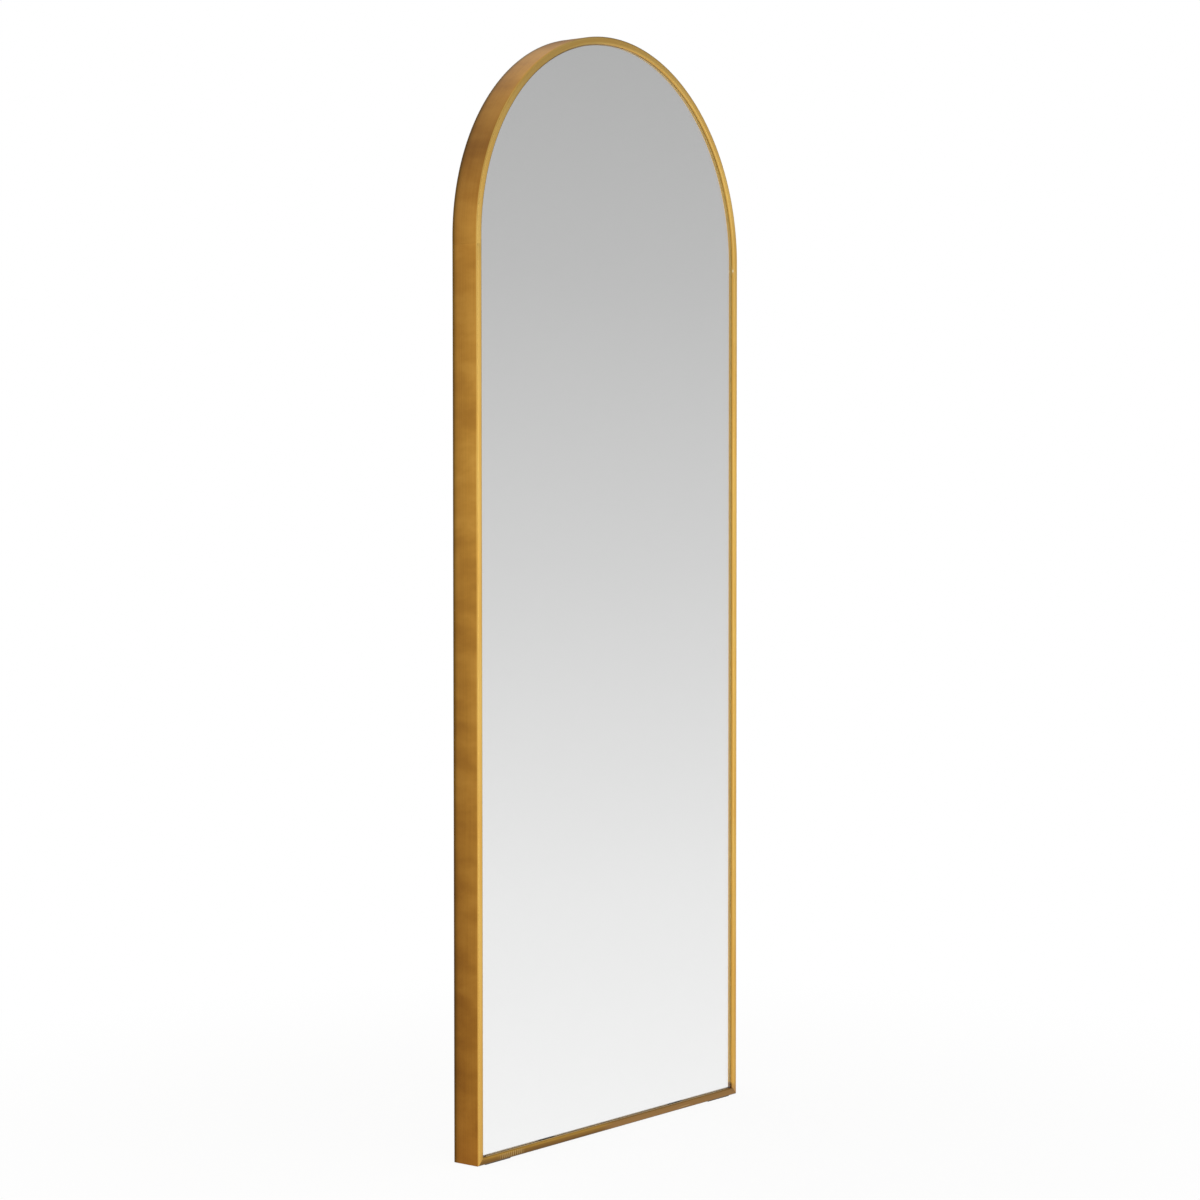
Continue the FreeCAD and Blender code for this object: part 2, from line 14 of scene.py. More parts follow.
import bmesh
import bpy
import numpy as np
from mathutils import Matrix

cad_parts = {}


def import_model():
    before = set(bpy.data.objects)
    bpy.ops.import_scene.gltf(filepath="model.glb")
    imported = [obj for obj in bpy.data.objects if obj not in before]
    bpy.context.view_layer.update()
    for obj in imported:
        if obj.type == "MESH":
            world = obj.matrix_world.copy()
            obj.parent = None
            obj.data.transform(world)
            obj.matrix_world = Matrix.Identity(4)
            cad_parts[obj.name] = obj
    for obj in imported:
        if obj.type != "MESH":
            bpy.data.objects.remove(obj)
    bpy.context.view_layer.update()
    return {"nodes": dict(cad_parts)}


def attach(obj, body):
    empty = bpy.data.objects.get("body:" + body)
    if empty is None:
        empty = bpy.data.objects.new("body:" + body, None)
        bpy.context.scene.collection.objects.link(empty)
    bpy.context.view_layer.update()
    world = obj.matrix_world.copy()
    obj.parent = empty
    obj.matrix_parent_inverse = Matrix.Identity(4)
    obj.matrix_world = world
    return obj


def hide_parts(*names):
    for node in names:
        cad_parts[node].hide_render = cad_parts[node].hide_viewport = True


LOG = logging.getLogger("floor_mirror")
MM = 0.001
TAU = 2 * math.pi

# The CAD frame's sizes and places, from which the other pieces take theirs.
HALF_WIDTH = 342.9 * MM
TUBE_FACE = 12.7 * MM
TUBE_DEPTH = 50.8 * MM
FRAME_FRONT = -26.4 * MM
FRAME_BOTTOM = 1.0 * MM
SPRING_LINE = 1436.1 * MM
LOWEST_TAB = 151.0 * MM

Array = np.ndarray
Point = tuple[float, float, float]
Colour = tuple[float, float, float]
Stops = tuple[tuple[float, Colour], ...]
Socket = bpy.types.NodeSocket


class Slot(Enum):
    """The record's material slots, named for the new pieces."""

    FRAME_METAL = "frame_metal"
    PANE = "pane"
    CLEAR_BUMPER = "clear_bumper"
    ZINC_PLATE = "zinc_plate"


class Grain(Enum):
    """What the brushing of a metal piece follows."""

    TUBE = "the tube's own length, from its UV map"
    PLATE = "the object's axes"


# ---------------------------------------------------------------- meshes


def smooth(value: Array, low: float, high: float) -> Array:
    """Rises from 0 at low to 1 at high along 3t^2 - 2t^3, with t the share of the way.

    Args:
        value: Where the step is read.
        low: Where it leaves 0.
        high: Where it reaches 1.

    Returns:
        The step's height at each value.
    """
    share = np.clip((value - low) / (high - low), 0.0, 1.0)
    return share * share * (3 - 2 * share)


def bell(value: Array, middle: float | Array, spread: float | Array) -> Array:
    """The bell curve exp(-t^2), with t the distance from its middle in spreads."""
    return np.exp(-((value - middle) / spread) ** 2)


@dataclass
class Shell:
    """A mesh gathered from grids of points, each grid a function of two parameters.

    Attributes:
        name: The piece's name.
        points: One array of points (n, 3) for each grid.
        quads: One array of vertex numbers (m, 4) for each grid.
        corners: One array of UV places (m, 4, 2) for each grid.
        slots: One array of material numbers (m,) for each grid.
        notes: Named numbers for each vertex, one array (n,) for each grid.
    """

    name: str
    points: list[Array] = field(default_factory=list)
    quads: list[Array] = field(default_factory=list)
    corners: list[Array] = field(default_factory=list)
    slots: list[Array] = field(default_factory=list)
    notes: dict[str, list[Array]] = field(default_factory=dict)

    def add(
        self, grid: Array, uv: Array | None = None, wraps: tuple[bool, bool] = (False, False),
        slot: int = 0, notes: dict[str, Array] | None = None,
    ) -> None:
        """Adds the quads between neighbours of a grid of points.

        Args:
            grid: Points (rows, columns, 3).
            uv: UV places (rows, columns, 2), one longer in each direction that wraps.
            wraps: Whether the last row meets the first, and the last column the first.
            slot: Number of the material among the piece's own.
            notes: Named numbers (rows, columns) that the material reads.
        """
        rows, columns = grid.shape[:2]
        low = np.arange(rows - (not wraps[0]))[:, None]
        left = np.arange(columns - (not wraps[1]))[None, :]
        high, right = (low + 1) % rows, (left + 1) % columns
        first = sum(len(p) for p in self.points)
        ring = ((low, left), (high, left), (high, right), (low, right))
        quads = np.stack([a * columns + b for a, b in ring], axis=-1).reshape(-1, 4)
        if uv is None:
            uv = np.zeros((rows + 1, columns + 1, 2))
        ends = ((low, left), (low + 1, left), (low + 1, left + 1), (low, left + 1))
        self.corners.append(np.stack([uv[a, b] for a, b in ends], axis=-2).reshape(-1, 4, 2))
        self.points.append(grid.reshape(-1, 3))
        self.quads.append(quads + first)
        self.slots.append(np.full(len(quads), slot))
        for key, value in (notes or {}).items():
            self.notes.setdefault(key, []).append(value.reshape(-1))

    def mesh(self) -> bpy.types.Mesh:
        """Puts the gathered grids into a new mesh, with their UV map, materials and notes.

        Returns:
            The mesh.
        """
        mesh = bpy.data.meshes.new(self.name)
        mesh.from_pydata(np.concatenate(self.points), [], np.concatenate(self.quads))
        layer = mesh.uv_layers.new(name="UVMap")
        layer.data.foreach_set("uv", np.concatenate(self.corners).astype(np.float32).ravel())
        mesh.polygons.foreach_set("material_index", np.concatenate(self.slots).astype(np.int32))
        for key, values in self.notes.items():
            note = mesh.attributes.new(key, "FLOAT", "POINT")
            note.data.foreach_set("value", np.concatenate(values).astype(np.float32))
        return mesh

    def build(self, body: str, slot: Slot, materials: list[bpy.types.Material],
              stands_for: tuple[str, ...] = (), crease: float = 32.0) -> None:
        """Makes the object, joins its seams and poles, turns its faces outwards and lets it ride.

        Args:
            body: CAD body that the piece rides on.
            slot: The record's slot that its finish belongs to; not used.
            materials: Its materials, in the order of their numbers.
            stands_for: CAD nodes that it replaces.
            crease: Angle in degrees past which an edge is sharp.
        """
        mesh = self.mesh()
        work = bmesh.new()
        work.from_mesh(mesh)
        bmesh.ops.remove_doubles(work, verts=work.verts, dist=1e-6)
        bmesh.ops.dissolve_degenerate(work, edges=work.edges, dist=1e-7)
        bmesh.ops.recalc_face_normals(work, faces=work.faces)
        work.to_mesh(mesh)
        work.free()
        mesh.shade_smooth()
        mesh.set_sharp_from_angle(angle=math.radians(crease))
        for material in materials:
            mesh.materials.append(material)
        piece = bpy.data.objects.new(self.name, mesh)
        bpy.context.scene.collection.objects.link(piece)
        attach(piece, body)
        if stands_for:
            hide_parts(*stands_for)
        LOG.info("%s: %d vertices, %d faces", self.name, len(mesh.vertices), len(mesh.polygons))


def dress_node(frame: dict, name: str, material: bpy.types.Material) -> None:
    """Gives a carried-over CAD node its finish.

    Args:
        name: The node's name.
        material: Its new material.
    """
    node = frame["nodes"][name]
    if not node.material_slots:
        node.data.materials.append(material)
    for place in node.material_slots:
        place.material = material
    LOG.info("%s: CAD node in %s", name, material.name)


# ---------------------------------------------------------------- shader nodes


class Shades:
    """Adds and joins the nodes of one shader tree."""

    def __init__(self, tree: bpy.types.NodeTree) -> None:
        """Starts from an empty tree."""
        tree.nodes.clear()
        self.tree = tree

    def add(self, kind: str, inputs: dict[str | int, object] | None = None,
            **settings: object) -> bpy.types.Node:
        """Adds a node.

        Args:
            kind: The node's type after "ShaderNode".
            inputs: Sockets to join, or numbers and colours to set, by input.
            **settings: The node's own settings.

        Returns:
            The node.
        """
        node = self.tree.nodes.new("ShaderNode" + kind)
        for key, value in settings.items():
            setattr(node, key, value)
        for key, value in (inputs or {}).items():
            if isinstance(value, bpy.types.NodeSocket):
                self.tree.links.new(value, node.inputs[key])
            elif isinstance(value, tuple) and len(node.inputs[key].default_value) == 4:
                node.inputs[key].default_value = (*value, 1.0)
            else:
                node.inputs[key].default_value = value
        return node

    def place(self) -> Socket:
        """Object coordinates in metres."""
        return self.add("TexCoord").outputs["Object"]

    def note(self, name: str) -> Socket:
        """A named number of the mesh."""
        return self.add("Attribute", attribute_name=name).outputs["Fac"]

    def sum(self, operation: str, first: object, second: object = 0.0,
            third: object = 0.0) -> Socket:
        """One step of arithmetic.

        Args:
            operation: Name of the Math node's operation.
            first: A number or a socket.
            second: A number or a socket.
            third: A number or a socket.

        Returns:
            The result's socket.
        """
        node = self.add("Math", {0: first, 1: second, 2: third}, operation=operation)
        return node.outputs[0]

    def step(self, value: Socket, low: float, high: float, bottom: float = 0.0,
             top: float = 1.0) -> Socket:
        """A soft step from bottom at low to top at high.

        Args:
            value: Where the step is read.
            low: Where it leaves bottom.
            high: Where it reaches top.
            bottom: Its first height.
            top: Its last height.

        Returns:
            The step's socket.
        """
        inputs = {0: value, 1: low, 2: high, 3: bottom, 4: top}
        return self.add("MapRange", inputs, interpolation_type="SMOOTHSTEP").outputs[0]

    def stretch(self, vector: Socket, factors: Point) -> Socket:
        """A vector with each axis times its factor."""
        return self.add("VectorMath", {0: vector, 1: factors}, operation="MULTIPLY").outputs[0]

    def axis(self, vector: Socket, name: str) -> Socket:
        """One axis of a vector."""
        return self.add("SeparateXYZ", {0: vector}).outputs[name]

    def noise(self, vector: Socket, scale: float, detail: float = 3.0, rough: float = 0.55,
              warp: float = 0.0) -> Socket:
        """Cloudy noise round 0.5.

        Args:
            vector: Where it is read.
            scale: Clouds in a unit of length.
            detail: Number of finer layers.
            rough: Strength of each finer layer.
            warp: How far the clouds are bent.

        Returns:
            The noise's socket.
        """
        inputs = {"Vector": vector, "Scale": scale, "Detail": detail, "Roughness": rough,
                  "Distortion": warp}
        return self.add("TexNoise", inputs).outputs[0]

    def ramp(self, share: Socket, stops: Stops) -> Socket:
        """A colour that changes along a number.

        Args:
            share: The number, 0 to 1.
            stops: Places and their colours.

        Returns:
            The colour's socket.
        """
        node = self.add("ValToRGB", {0: share})
        band = node.color_ramp.elements
        while len(band) < len(stops):
            band.new(0.5)
        for element, (where, colour) in zip(band, stops):
            element.position, element.color = where, (*colour, 1.0)
        return node.outputs[0]

    def mix(self, share: object, first: object, second: object, blend: str = "MIX") -> Socket:
        """Two colours mixed.

        Args:
            share: How much of the second.
            first: A colour or a socket.
            second: A colour or a socket.
            blend: Name of the Mix node's blend type.

        Returns:
            The colour's socket.
        """
        inputs = {0: share, 6: first, 7: second}
        return self.add("Mix", inputs, data_type="RGBA", blend_type=blend).outputs[2]

    def bump(self, height: Socket, strength: float, depth: float) -> Socket:
        """A normal tilted by a height.

        Args:
            height: The height's socket.
            strength: Share of the tilt that is used.
            depth: Metres for a height of 1.

        Returns:
            The normal's socket.
        """
        inputs = {"Strength": strength, "Distance": depth, "Height": height}
        return self.add("Bump", inputs).outputs[0]

    def surface(self, inputs: dict[str | int, object]) -> None:
        """Joins a Principled BSDF with these inputs to the output."""
        shader = self.add("BsdfPrincipled", inputs)
        self.add("OutputMaterial", {"Surface": shader.outputs[0]})


def new_material(name: str, paint: Callable[[Shades], None]) -> bpy.types.Material:
    """Makes a node material.

    Args:
        name: Its name.
        paint: Adds its nodes.

    Returns:
        The material.
    """
    material = bpy.data.materials.new(name)
    material.use_nodes = True
    paint(Shades(material.node_tree))
    return material


# ---------------------------------------------------------------- finishes


@dataclass(frozen=True)
class Finish:
    """A procedural material, with its colours as fields.

    Attributes:
        name: The material's name.
    """

    name: str

    def material(self) -> bpy.types.Material:
        """Makes the material."""
        return new_material(self.name, self.paint)

    def paint(self, s: Shades) -> None:
        """Adds the nodes, which are each finish's own."""
        raise NotImplementedError


@dataclass(frozen=True)
class BrushedBrass(Finish):
    """Antique brass plate under clear lacquer, brushed along the tube, with a cloudy patina and
    painted light and shade.

    Attributes:
        grain: What the brushing follows.
        shade: Patina in the darkest clouds.
        body: Patina between them.
        light: The palest clouds.
        face_deep: The front face's deeper gold.
        face_pale: The front face's pale gold.
        level_painted_shade: Painted shade that the front face is multiplied by where the tube
            runs level.
        line: The brown line along the inner front corner; on the rail a pale painted highlight
            instead.
        painted_edge_shade: Painted shade along the front face's right, upper and lower edges.
        tarnish: The copper tone of the front face at the right stile's foot.
        corner_shade: Painted shade in the inner corners of the mitres.
        worn: Bare, bright brass of a small knock, paled further as a painted glint.
        flank_painted_light_by_height: Painted light and shade that the patina is multiplied by,
            by height as a share of 2 m.
        face_painted_light_by_height: Painted light and shade that the front face is multiplied
            by, by the same share.
    """

    grain: Grain = Grain.TUBE
    shade: Colour = (0.420, 0.190, 0.026)
    body: Colour = (0.540, 0.265, 0.042)
    light: Colour = (0.650, 0.345, 0.066)
    face_deep: Colour = (0.760, 0.440, 0.088)
    face_pale: Colour = (0.830, 0.545, 0.136)
    level_painted_shade: Colour = (0.86, 0.86, 0.90)
    line: Colour = (0.800, 0.430, 0.080)
    painted_edge_shade: Colour = (0.150, 0.090, 0.036)
    tarnish: Colour = (0.560, 0.300, 0.095)
    corner_shade: Colour = (0.220, 0.100, 0.021)
    worn: Colour = (0.980, 0.860, 0.560)
    flank_painted_light_by_height: Stops = (
        (0.0, (1.02, 0.80, 0.52)), (0.06, (0.92, 0.76, 0.48)), (0.24, (1.04, 0.94, 0.72)),
        (0.55, (1.14, 1.12, 0.98)), (0.72, (0.95, 0.89, 0.75)), (0.79, (0.59, 0.52, 0.47)),
        (0.86, (1.20, 1.18, 1.05)))
    face_painted_light_by_height: Stops = (
        (0.0, (0.84, 0.77, 0.68)), (0.10, (0.90, 0.86, 0.79)), (0.30, (0.97, 0.96, 0.95)),
        (0.55, (1.05, 1.05, 1.05)), (0.70, (0.94, 0.96, 1.04)))

    def marks(self, s: Shades, place: Socket, gold: Socket) -> Socket:
        """The front face's colour with the marks of this one piece; here it has none.

        Args:
            s: The material's nodes.
            place: Object coordinates.
            gold: The face's colour so far.

        Returns:
            The face's colour.
        """
        return gold

    def paint(self, s: Shades) -> None:
        """Adds the nodes.

        Colour: clouds of 150 mm and 40 mm and streaks along the grain choose between the
        patina's three colours. Painted light and shade make them lighter towards the front
        and darker towards the rear edge, painted shade darkens the rear corner, and painted
        light and shade in bands by height lighten and darken them and redden them towards
        the floor. The front face has its own gold, darkened by painted shade low down and
        where the tube runs level, and a line on each of its two corners: the darker one is
        painted shade, and on the rail the other is a painted highlight. Painted shade
        darkens the mitres' inner corners, and the knocks' bare brass is paled as a painted
        glint.

        Args:
            s: The material's nodes.
        """
        place = s.place()
        if self.grain is Grain.TUBE:
            along = s.add("UVMap").outputs[0]
            streak_size, hair_size = (5.0, 420.0, 1.0), (26.0, 2600.0, 1.0)
        else:
            along = place
            streak_size, hair_size = (60.0, 60.0, 420.0), (160.0, 160.0, 2600.0)
        cloud = s.noise(place, 6.5, 3.0, 0.5, 0.3)
        blot = s.noise(s.stretch(place, (1.0, 0.6, 1.3)), 24.0, 3.0, 0.55, 0.25)
        streak = s.noise(s.stretch(along, streak_size), 1.0, 2.0, 0.5)
        hair = s.noise(s.stretch(along, hair_size), 1.0, 2.0, 0.6)
        mixed = s.sum("MULTIPLY_ADD", blot, 0.40, s.sum("MULTIPLY", cloud, 0.45))
        mixed = s.sum("MULTIPLY_ADD", streak, 0.15, mixed)
        tone = s.step(mixed, 0.30, 0.70)
        flank = s.ramp(tone, ((0.0, self.shade), (0.5, self.body), (1.0, self.light)))
        # Painted light and shade: the flanks lighter towards the front, darker towards the rear.
        depth = s.step(s.axis(place, "Y"), -26 * MM, 26 * MM)
        flank = s.mix(1.0, flank, s.mix(depth, (1.10, 1.12, 1.14), (0.84, 0.82, 0.80)),
                      "MULTIPLY")
        # Painted light and shade in wide bands by height, reddening the flanks towards the floor.
        height = s.sum("MULTIPLY", s.axis(place, "Z"), 0.5)
        flank = s.mix(1.0, flank, s.ramp(height, self.flank_painted_light_by_height), "MULTIPLY")
        # Painted shade on the rear corner, which turns away from the light.
        flank = s.mix(s.note("rear"), flank, s.mix(1.0, flank, (0.38, 0.42, 0.32), "MULTIPLY"))
        gloss = s.sum("MULTIPLY_ADD", streak, 0.6, s.sum("MULTIPLY", cloud, 0.5))
        gold = s.mix(s.step(gloss, 0.40, 0.70), self.face_deep, self.face_pale)
        # Painted shade on the front face low down.
        gold = s.mix(1.0, gold, s.ramp(height, self.face_painted_light_by_height), "MULTIPLY")
        # Painted shade on the front face where the tube runs level.
        gold = s.mix(s.note("level"), gold, s.mix(1.0, gold, self.level_painted_shade, "MULTIPLY"))
        gold = s.mix(s.note("tarnish"), gold, self.tarnish)
        gold = self.marks(s, place, gold)
        # On the rail this line is a painted highlight.
        gold = s.mix(s.note("inner_line"), gold, self.line)
        colour = s.mix(s.note("facing"), flank, gold)
        # Painted shade along the front face's edges.
        colour = s.mix(s.note("painted_edge_shade"), colour, self.painted_edge_shade)
        # Painted shade in the inner corners of the mitres.
        colour = s.mix(s.note("corner_shade"), colour, self.corner_shade)
        # Bare brass at the knocks, paled further as a painted glint.
        colour = s.mix(s.note("worn"), colour, self.worn)
        rough = s.step(s.sum("MULTIPLY_ADD", hair, 0.5, s.sum("MULTIPLY", cloud, 0.5)),
                       0.3, 0.7, 0.30, 0.42)
        inputs = {"Base Color": colour, "Metallic": 1.0, "Roughness": rough,
                  "Normal": s.bump(hair, 0.25, 0.00006), "Coat Weight": 0.18,
                  "Coat Roughness": 0.22, "Coat IOR": 1.5}
        if self.grain is Grain.TUBE:
            tangent = s.add("Tangent", direction_type="UV_MAP", uv_map="UVMap").outputs[0]
            inputs |= {"Anisotropic": 0.7, "Anisotropic Rotation": 0.25, "Tangent": tangent}
        s.surface(inputs)


@dataclass(frozen=True)
class RailBrass(BrushedBrass):
    """The bottom rail's brass, its front face darkened by painted shade and lit along its upper
    edge by a painted highlight, with polishing marks near its left end and a scratch.

    Attributes:
        marks_from: X where the polishing marks start.
        marks_to: X where they end.
        mark_spacing: Distance from one mark to the next.
        mark_colour: Colour of the marks.
        scratch_from: X where the scratch starts.
        scratch_to: X where it ends.
        scratch_height: Z of the scratch's middle.
        scratch_width: Half the scratch's width.
    """

    name: str = "rail_brass"
    # The rail's front face gold, darkened by painted shade.
    face_deep: Colour = (0.236, 0.114, 0.0125)
    face_pale: Colour = (0.308, 0.158, 0.022)
    level_painted_shade: Colour = (1.0, 1.0, 1.0)
    # A painted highlight along the rail's upper inner corner.
    line: Colour = (1.000, 0.800, 0.480)
    tarnish: Colour = (0.330, 0.170, 0.045)
    # On the rail: painted shade along the lower edge, a painted highlight along the upper edge.
    face_painted_light_by_height: Stops = (
        (0.0005, (0.45, 0.40, 0.36)), (0.0028, (0.86, 0.82, 0.76)),
        (0.0050, (1.15, 1.15, 1.15)), (0.0062, (2.80, 3.20, 4.00)))
    marks_from: float = -301.0 * MM
    marks_to: float = -228.0 * MM
    mark_spacing: float = 5.2 * MM
    mark_colour: Colour = (0.62, 0.43, 0.17)
    scratch_from: float = 168.0 * MM
    scratch_to: float = 212.0 * MM
    scratch_height: float = 4.6 * MM
    scratch_width: float = 0.7 * MM

    def marks(self, s: Shades, place: Socket, gold: Socket) -> Socket:
        """Adds the polishing marks, the scratch and the brown under it.

        A mark is the top of a sine wave of X, leaning a little with height and bent by
        noise; the marks fade in and out at both ends of their stretch.

        Args:
            s: The material's nodes.
            place: Object coordinates.
            gold: The face's colour so far.

        Returns:
            The face's colour.
        """
        x, z = s.axis(place, "X"), s.axis(place, "Z")
        bent = s.sum("MULTIPLY_ADD", s.noise(place, 60.0, 2.0), 3.0 * MM, x)
        leaning = s.sum("MULTIPLY_ADD", z, -0.12, bent)
        wave = s.sum("SINE", s.sum("MULTIPLY", leaning, TAU / self.mark_spacing))
        fade = s.sum("MULTIPLY", s.step(x, self.marks_from, self.marks_from + 22 * MM),
                     s.step(x, self.marks_to - 14 * MM, self.marks_to, 1.0, 0.0))
        band = s.sum("MULTIPLY", s.step(z, 2 * MM, 5 * MM), s.step(z, 10 * MM, 13 * MM, 1.0, 0.0))
        strength = s.sum("MULTIPLY", s.sum("MULTIPLY", s.step(wave, -0.2, 0.95), 0.65),
                         s.sum("MULTIPLY", fade, band))
        gold = s.mix(strength, gold, self.mark_colour)
        along = s.sum("MULTIPLY", s.step(x, self.scratch_from, self.scratch_from + 20 * MM),
                      s.step(x, self.scratch_to - 12 * MM, self.scratch_to, 1.0, 0.0))
        rise = s.sum("MULTIPLY_ADD", s.sum("SUBTRACT", x, self.scratch_from), -0.02, z)
        off = s.sum("ABSOLUTE", s.sum("SUBTRACT", rise, self.scratch_height))
        line = s.step(off, 0.3 * self.scratch_width, self.scratch_width, 1.0, 0.0)
        under = s.step(rise, self.scratch_height - 2.5 * MM, self.scratch_height - 0.5 * MM,
                       1.0, 0.0)
        gold = s.mix(s.sum("MULTIPLY", s.sum("MULTIPLY", under, along), 0.6), gold,
                     (0.10, 0.05, 0.02))
        return s.mix(s.sum("MULTIPLY", s.sum("MULTIPLY", line, along), 0.7), gold,
                     self.mark_colour)


@dataclass(frozen=True)
class ClearGlass(Finish):
    """Polished float glass whose faint green drifts a little over the pane."""

    name: str = "clear_glass"
    clear: Colour = (0.992, 0.992, 0.992)
    green: Colour = (0.984, 0.990, 0.986)

    def paint(self, s: Shades) -> None:
        """Adds the nodes: clear glass, in wide clouds of two hardly different tints."""
        drift = s.noise(s.place(), 2.0, 2.0)
        s.surface({"Base Color": s.mix(drift, self.clear, self.green), "Roughness": 0.0,
                   "IOR": 1.52, "Transmission Weight": 1.0})


@dataclass(frozen=True)
class Silvering(Finish):
    """The reflecting layer on the pane's back."""

    name: str = "silvering"
    silver: Colour = (0.962, 0.962, 0.960)
    thin: Colour = (0.950, 0.951, 0.950)

    def paint(self, s: Shades) -> None:
        """Adds the nodes: silver whose thickness drifts very slightly over the pane."""
        drift = s.noise(s.place(), 3.0, 2.0)
        s.surface({"Base Color": s.mix(drift, self.thin, self.silver), "Metallic": 1.0,
                   "Roughness": 0.0})


@dataclass(frozen=True)
class EdgeSealAndReflection(Finish):
    """Copper-coloured lacquer brushed on the pane's edge against damp; its gold is partly a
    painted reflection of the frame.

    Attributes:
        name: The material's name.
        thin: Where the brush left little.
        full: Where the lacquer is thick.
        corner: Painted shade in the lower corners.
    """

    name: str = "edge_seal_and_reflection"
    # The seal's gold stands partly for the frame's reflection in the glass: painted reflection.
    thin: Colour = (0.68, 0.43, 0.070)
    full: Colour = (0.80, 0.52, 0.100)
    corner: Colour = (0.21, 0.098, 0.020)

    def paint(self, s: Shades) -> None:
        """Adds the nodes: short brush strokes in two tones, with painted shade in the lower
        corners.

        Args:
            s: The material's nodes.
        """
        place = s.place()
        stroke = s.noise(s.stretch(place, (30.0, 300.0, 30.0)), 1.0, 3.0, 0.6)
        colour = s.mix(s.step(stroke, 0.35, 0.65), self.thin, self.full)
        # Painted shade in the pane's lower corners.
        colour = s.mix(s.note("corner_shade"), colour, self.corner)
        s.surface({"Base Color": colour, "Metallic": 0.85,
                   "Roughness": s.step(stroke, 0.3, 0.7, 0.28, 0.40)})


@dataclass(frozen=True)
class ZincPlate(Finish):
    """Bright zinc plate of straps, rings and screws, with fine scratches."""

    name: str = "zinc_plate"
    grey: Colour = (0.50, 0.51, 0.53)
    bright: Colour = (0.74, 0.75, 0.76)
    haze: Colour = (0.66, 0.64, 0.55)

    def paint(self, s: Shades) -> None:
        """Adds the nodes: clouds of grey and a faint straw haze, crossed by long thin marks.

        Args:
            s: The material's nodes.
        """
        place = s.place()
        cloud = s.noise(place, 130.0, 4.0, 0.6)
        haze = s.step(s.noise(place, 60.0, 2.0), 0.5, 0.75, 0.0, 0.5)
        marks = s.noise(s.stretch(place, (2400.0, 2400.0, 160.0)), 1.0, 1.0)
        colour = s.mix(s.step(cloud, 0.35, 0.65), self.grey, self.bright)
        colour = s.mix(haze, colour, self.haze)
        s.surface({"Base Color": colour, "Metallic": 1.0,
                   "Roughness": s.step(marks, 0.35, 0.65, 0.24, 0.42),
                   "Normal": s.bump(marks, 0.2, 0.00005)})


@dataclass(frozen=True)
class BareSteel(Finish):
    """Mill-finished steel of the splice sleeves inside the tubes."""

    name: str = "bare_steel"
    scale_grey: Colour = (0.20, 0.21, 0.23)
    rubbed: Colour = (0.46, 0.45, 0.44)

    def paint(self, s: Shades) -> None:
        """Adds the nodes: grey mill scale rubbed bright in patches.

        Args:
            s: The material's nodes.
        """
        place = s.place()
        patch = s.noise(place, 90.0, 5.0, 0.65)
        colour = s.mix(s.step(patch, 0.4, 0.6), self.scale_grey, self.rubbed)
        s.surface({"Base Color": colour, "Metallic": 1.0,
                   "Roughness": s.step(patch, 0.3, 0.7, 0.55, 0.35),
                   "Normal": s.bump(patch, 0.3, 0.0001)})


@dataclass(frozen=True)
class Fibreboard(Finish):
    """Medium-density fibreboard: smooth tan faces with fine fibres and darker sawn edges."""

    name: str = "fibreboard"
    fibre_dark: Colour = (0.250, 0.155, 0.083)
    fibre_mid: Colour = (0.370, 0.245, 0.140)
    fibre_light: Colour = (0.480, 0.335, 0.205)
    edge: Colour = (0.62, 0.56, 0.50)

    def paint(self, s: Shades) -> None:
        """Adds the nodes: short pressed fibres over wide pale clouds, darker off the faces.

        Args:
            s: The material's nodes.
        """
        place = s.place()
        cloud = s.noise(place, 6.0, 4.0, 0.5, 0.5)
        fibre = s.noise(s.stretch(place, (520.0, 900.0, 260.0)), 1.0, 4.0, 0.65, 1.2)
        chip = s.noise(s.stretch(place, (240.0, 500.0, 620.0)), 1.0, 3.0, 0.7, 0.8)
        tone = s.sum("MULTIPLY_ADD", fibre, 0.55, s.sum("MULTIPLY", chip, 0.45))
        tone = s.sum("MULTIPLY_ADD", cloud, 0.35, tone)
        colour = s.ramp(s.step(tone, 0.48, 0.88),
                        ((0.0, self.fibre_dark), (0.5, self.fibre_mid), (1.0, self.fibre_light)))
        facing = s.sum("ABSOLUTE", s.axis(s.add("NewGeometry").outputs["Normal"], "Y"))
        edge = s.step(facing, 0.3, 0.8, 1.0, 0.0)
        colour = s.mix(edge, colour, s.mix(1.0, colour, self.edge, "MULTIPLY"))
        s.surface({"Base Color": colour, "Roughness": s.step(fibre, 0.3, 0.7, 0.62, 0.82),
                   "Normal": s.bump(tone, 0.35, 0.00012)})


@dataclass(frozen=True)
class WovenFilm(Finish):
    """Safety film: pale polyethylene with a fine woven scrim."""

    name: str = "woven_film"
    thread: Colour = (0.60, 0.62, 0.63)
    gap: Colour = (0.42, 0.45, 0.47)

    def paint(self, s: Shades) -> None:
        """Adds the nodes: threads 2.5 mm apart both ways, as the product of two sine waves.

        Args:
            s: The material's nodes.
        """
        place = s.place()
        waves = [s.sum("SINE", s.sum("MULTIPLY", s.axis(place, name), TAU / (2.5 * MM)))
                 for name in "XZ"]
        weave = s.sum("MULTIPLY_ADD", s.sum("MULTIPLY", *waves), 0.5, 0.5)
        colour = s.mix(weave, self.gap, self.thread)
        s.surface({"Base Color": colour, "Roughness": s.step(weave, 0.0, 1.0, 0.55, 0.38),
                   "Normal": s.bump(weave, 0.3, 0.0001)})


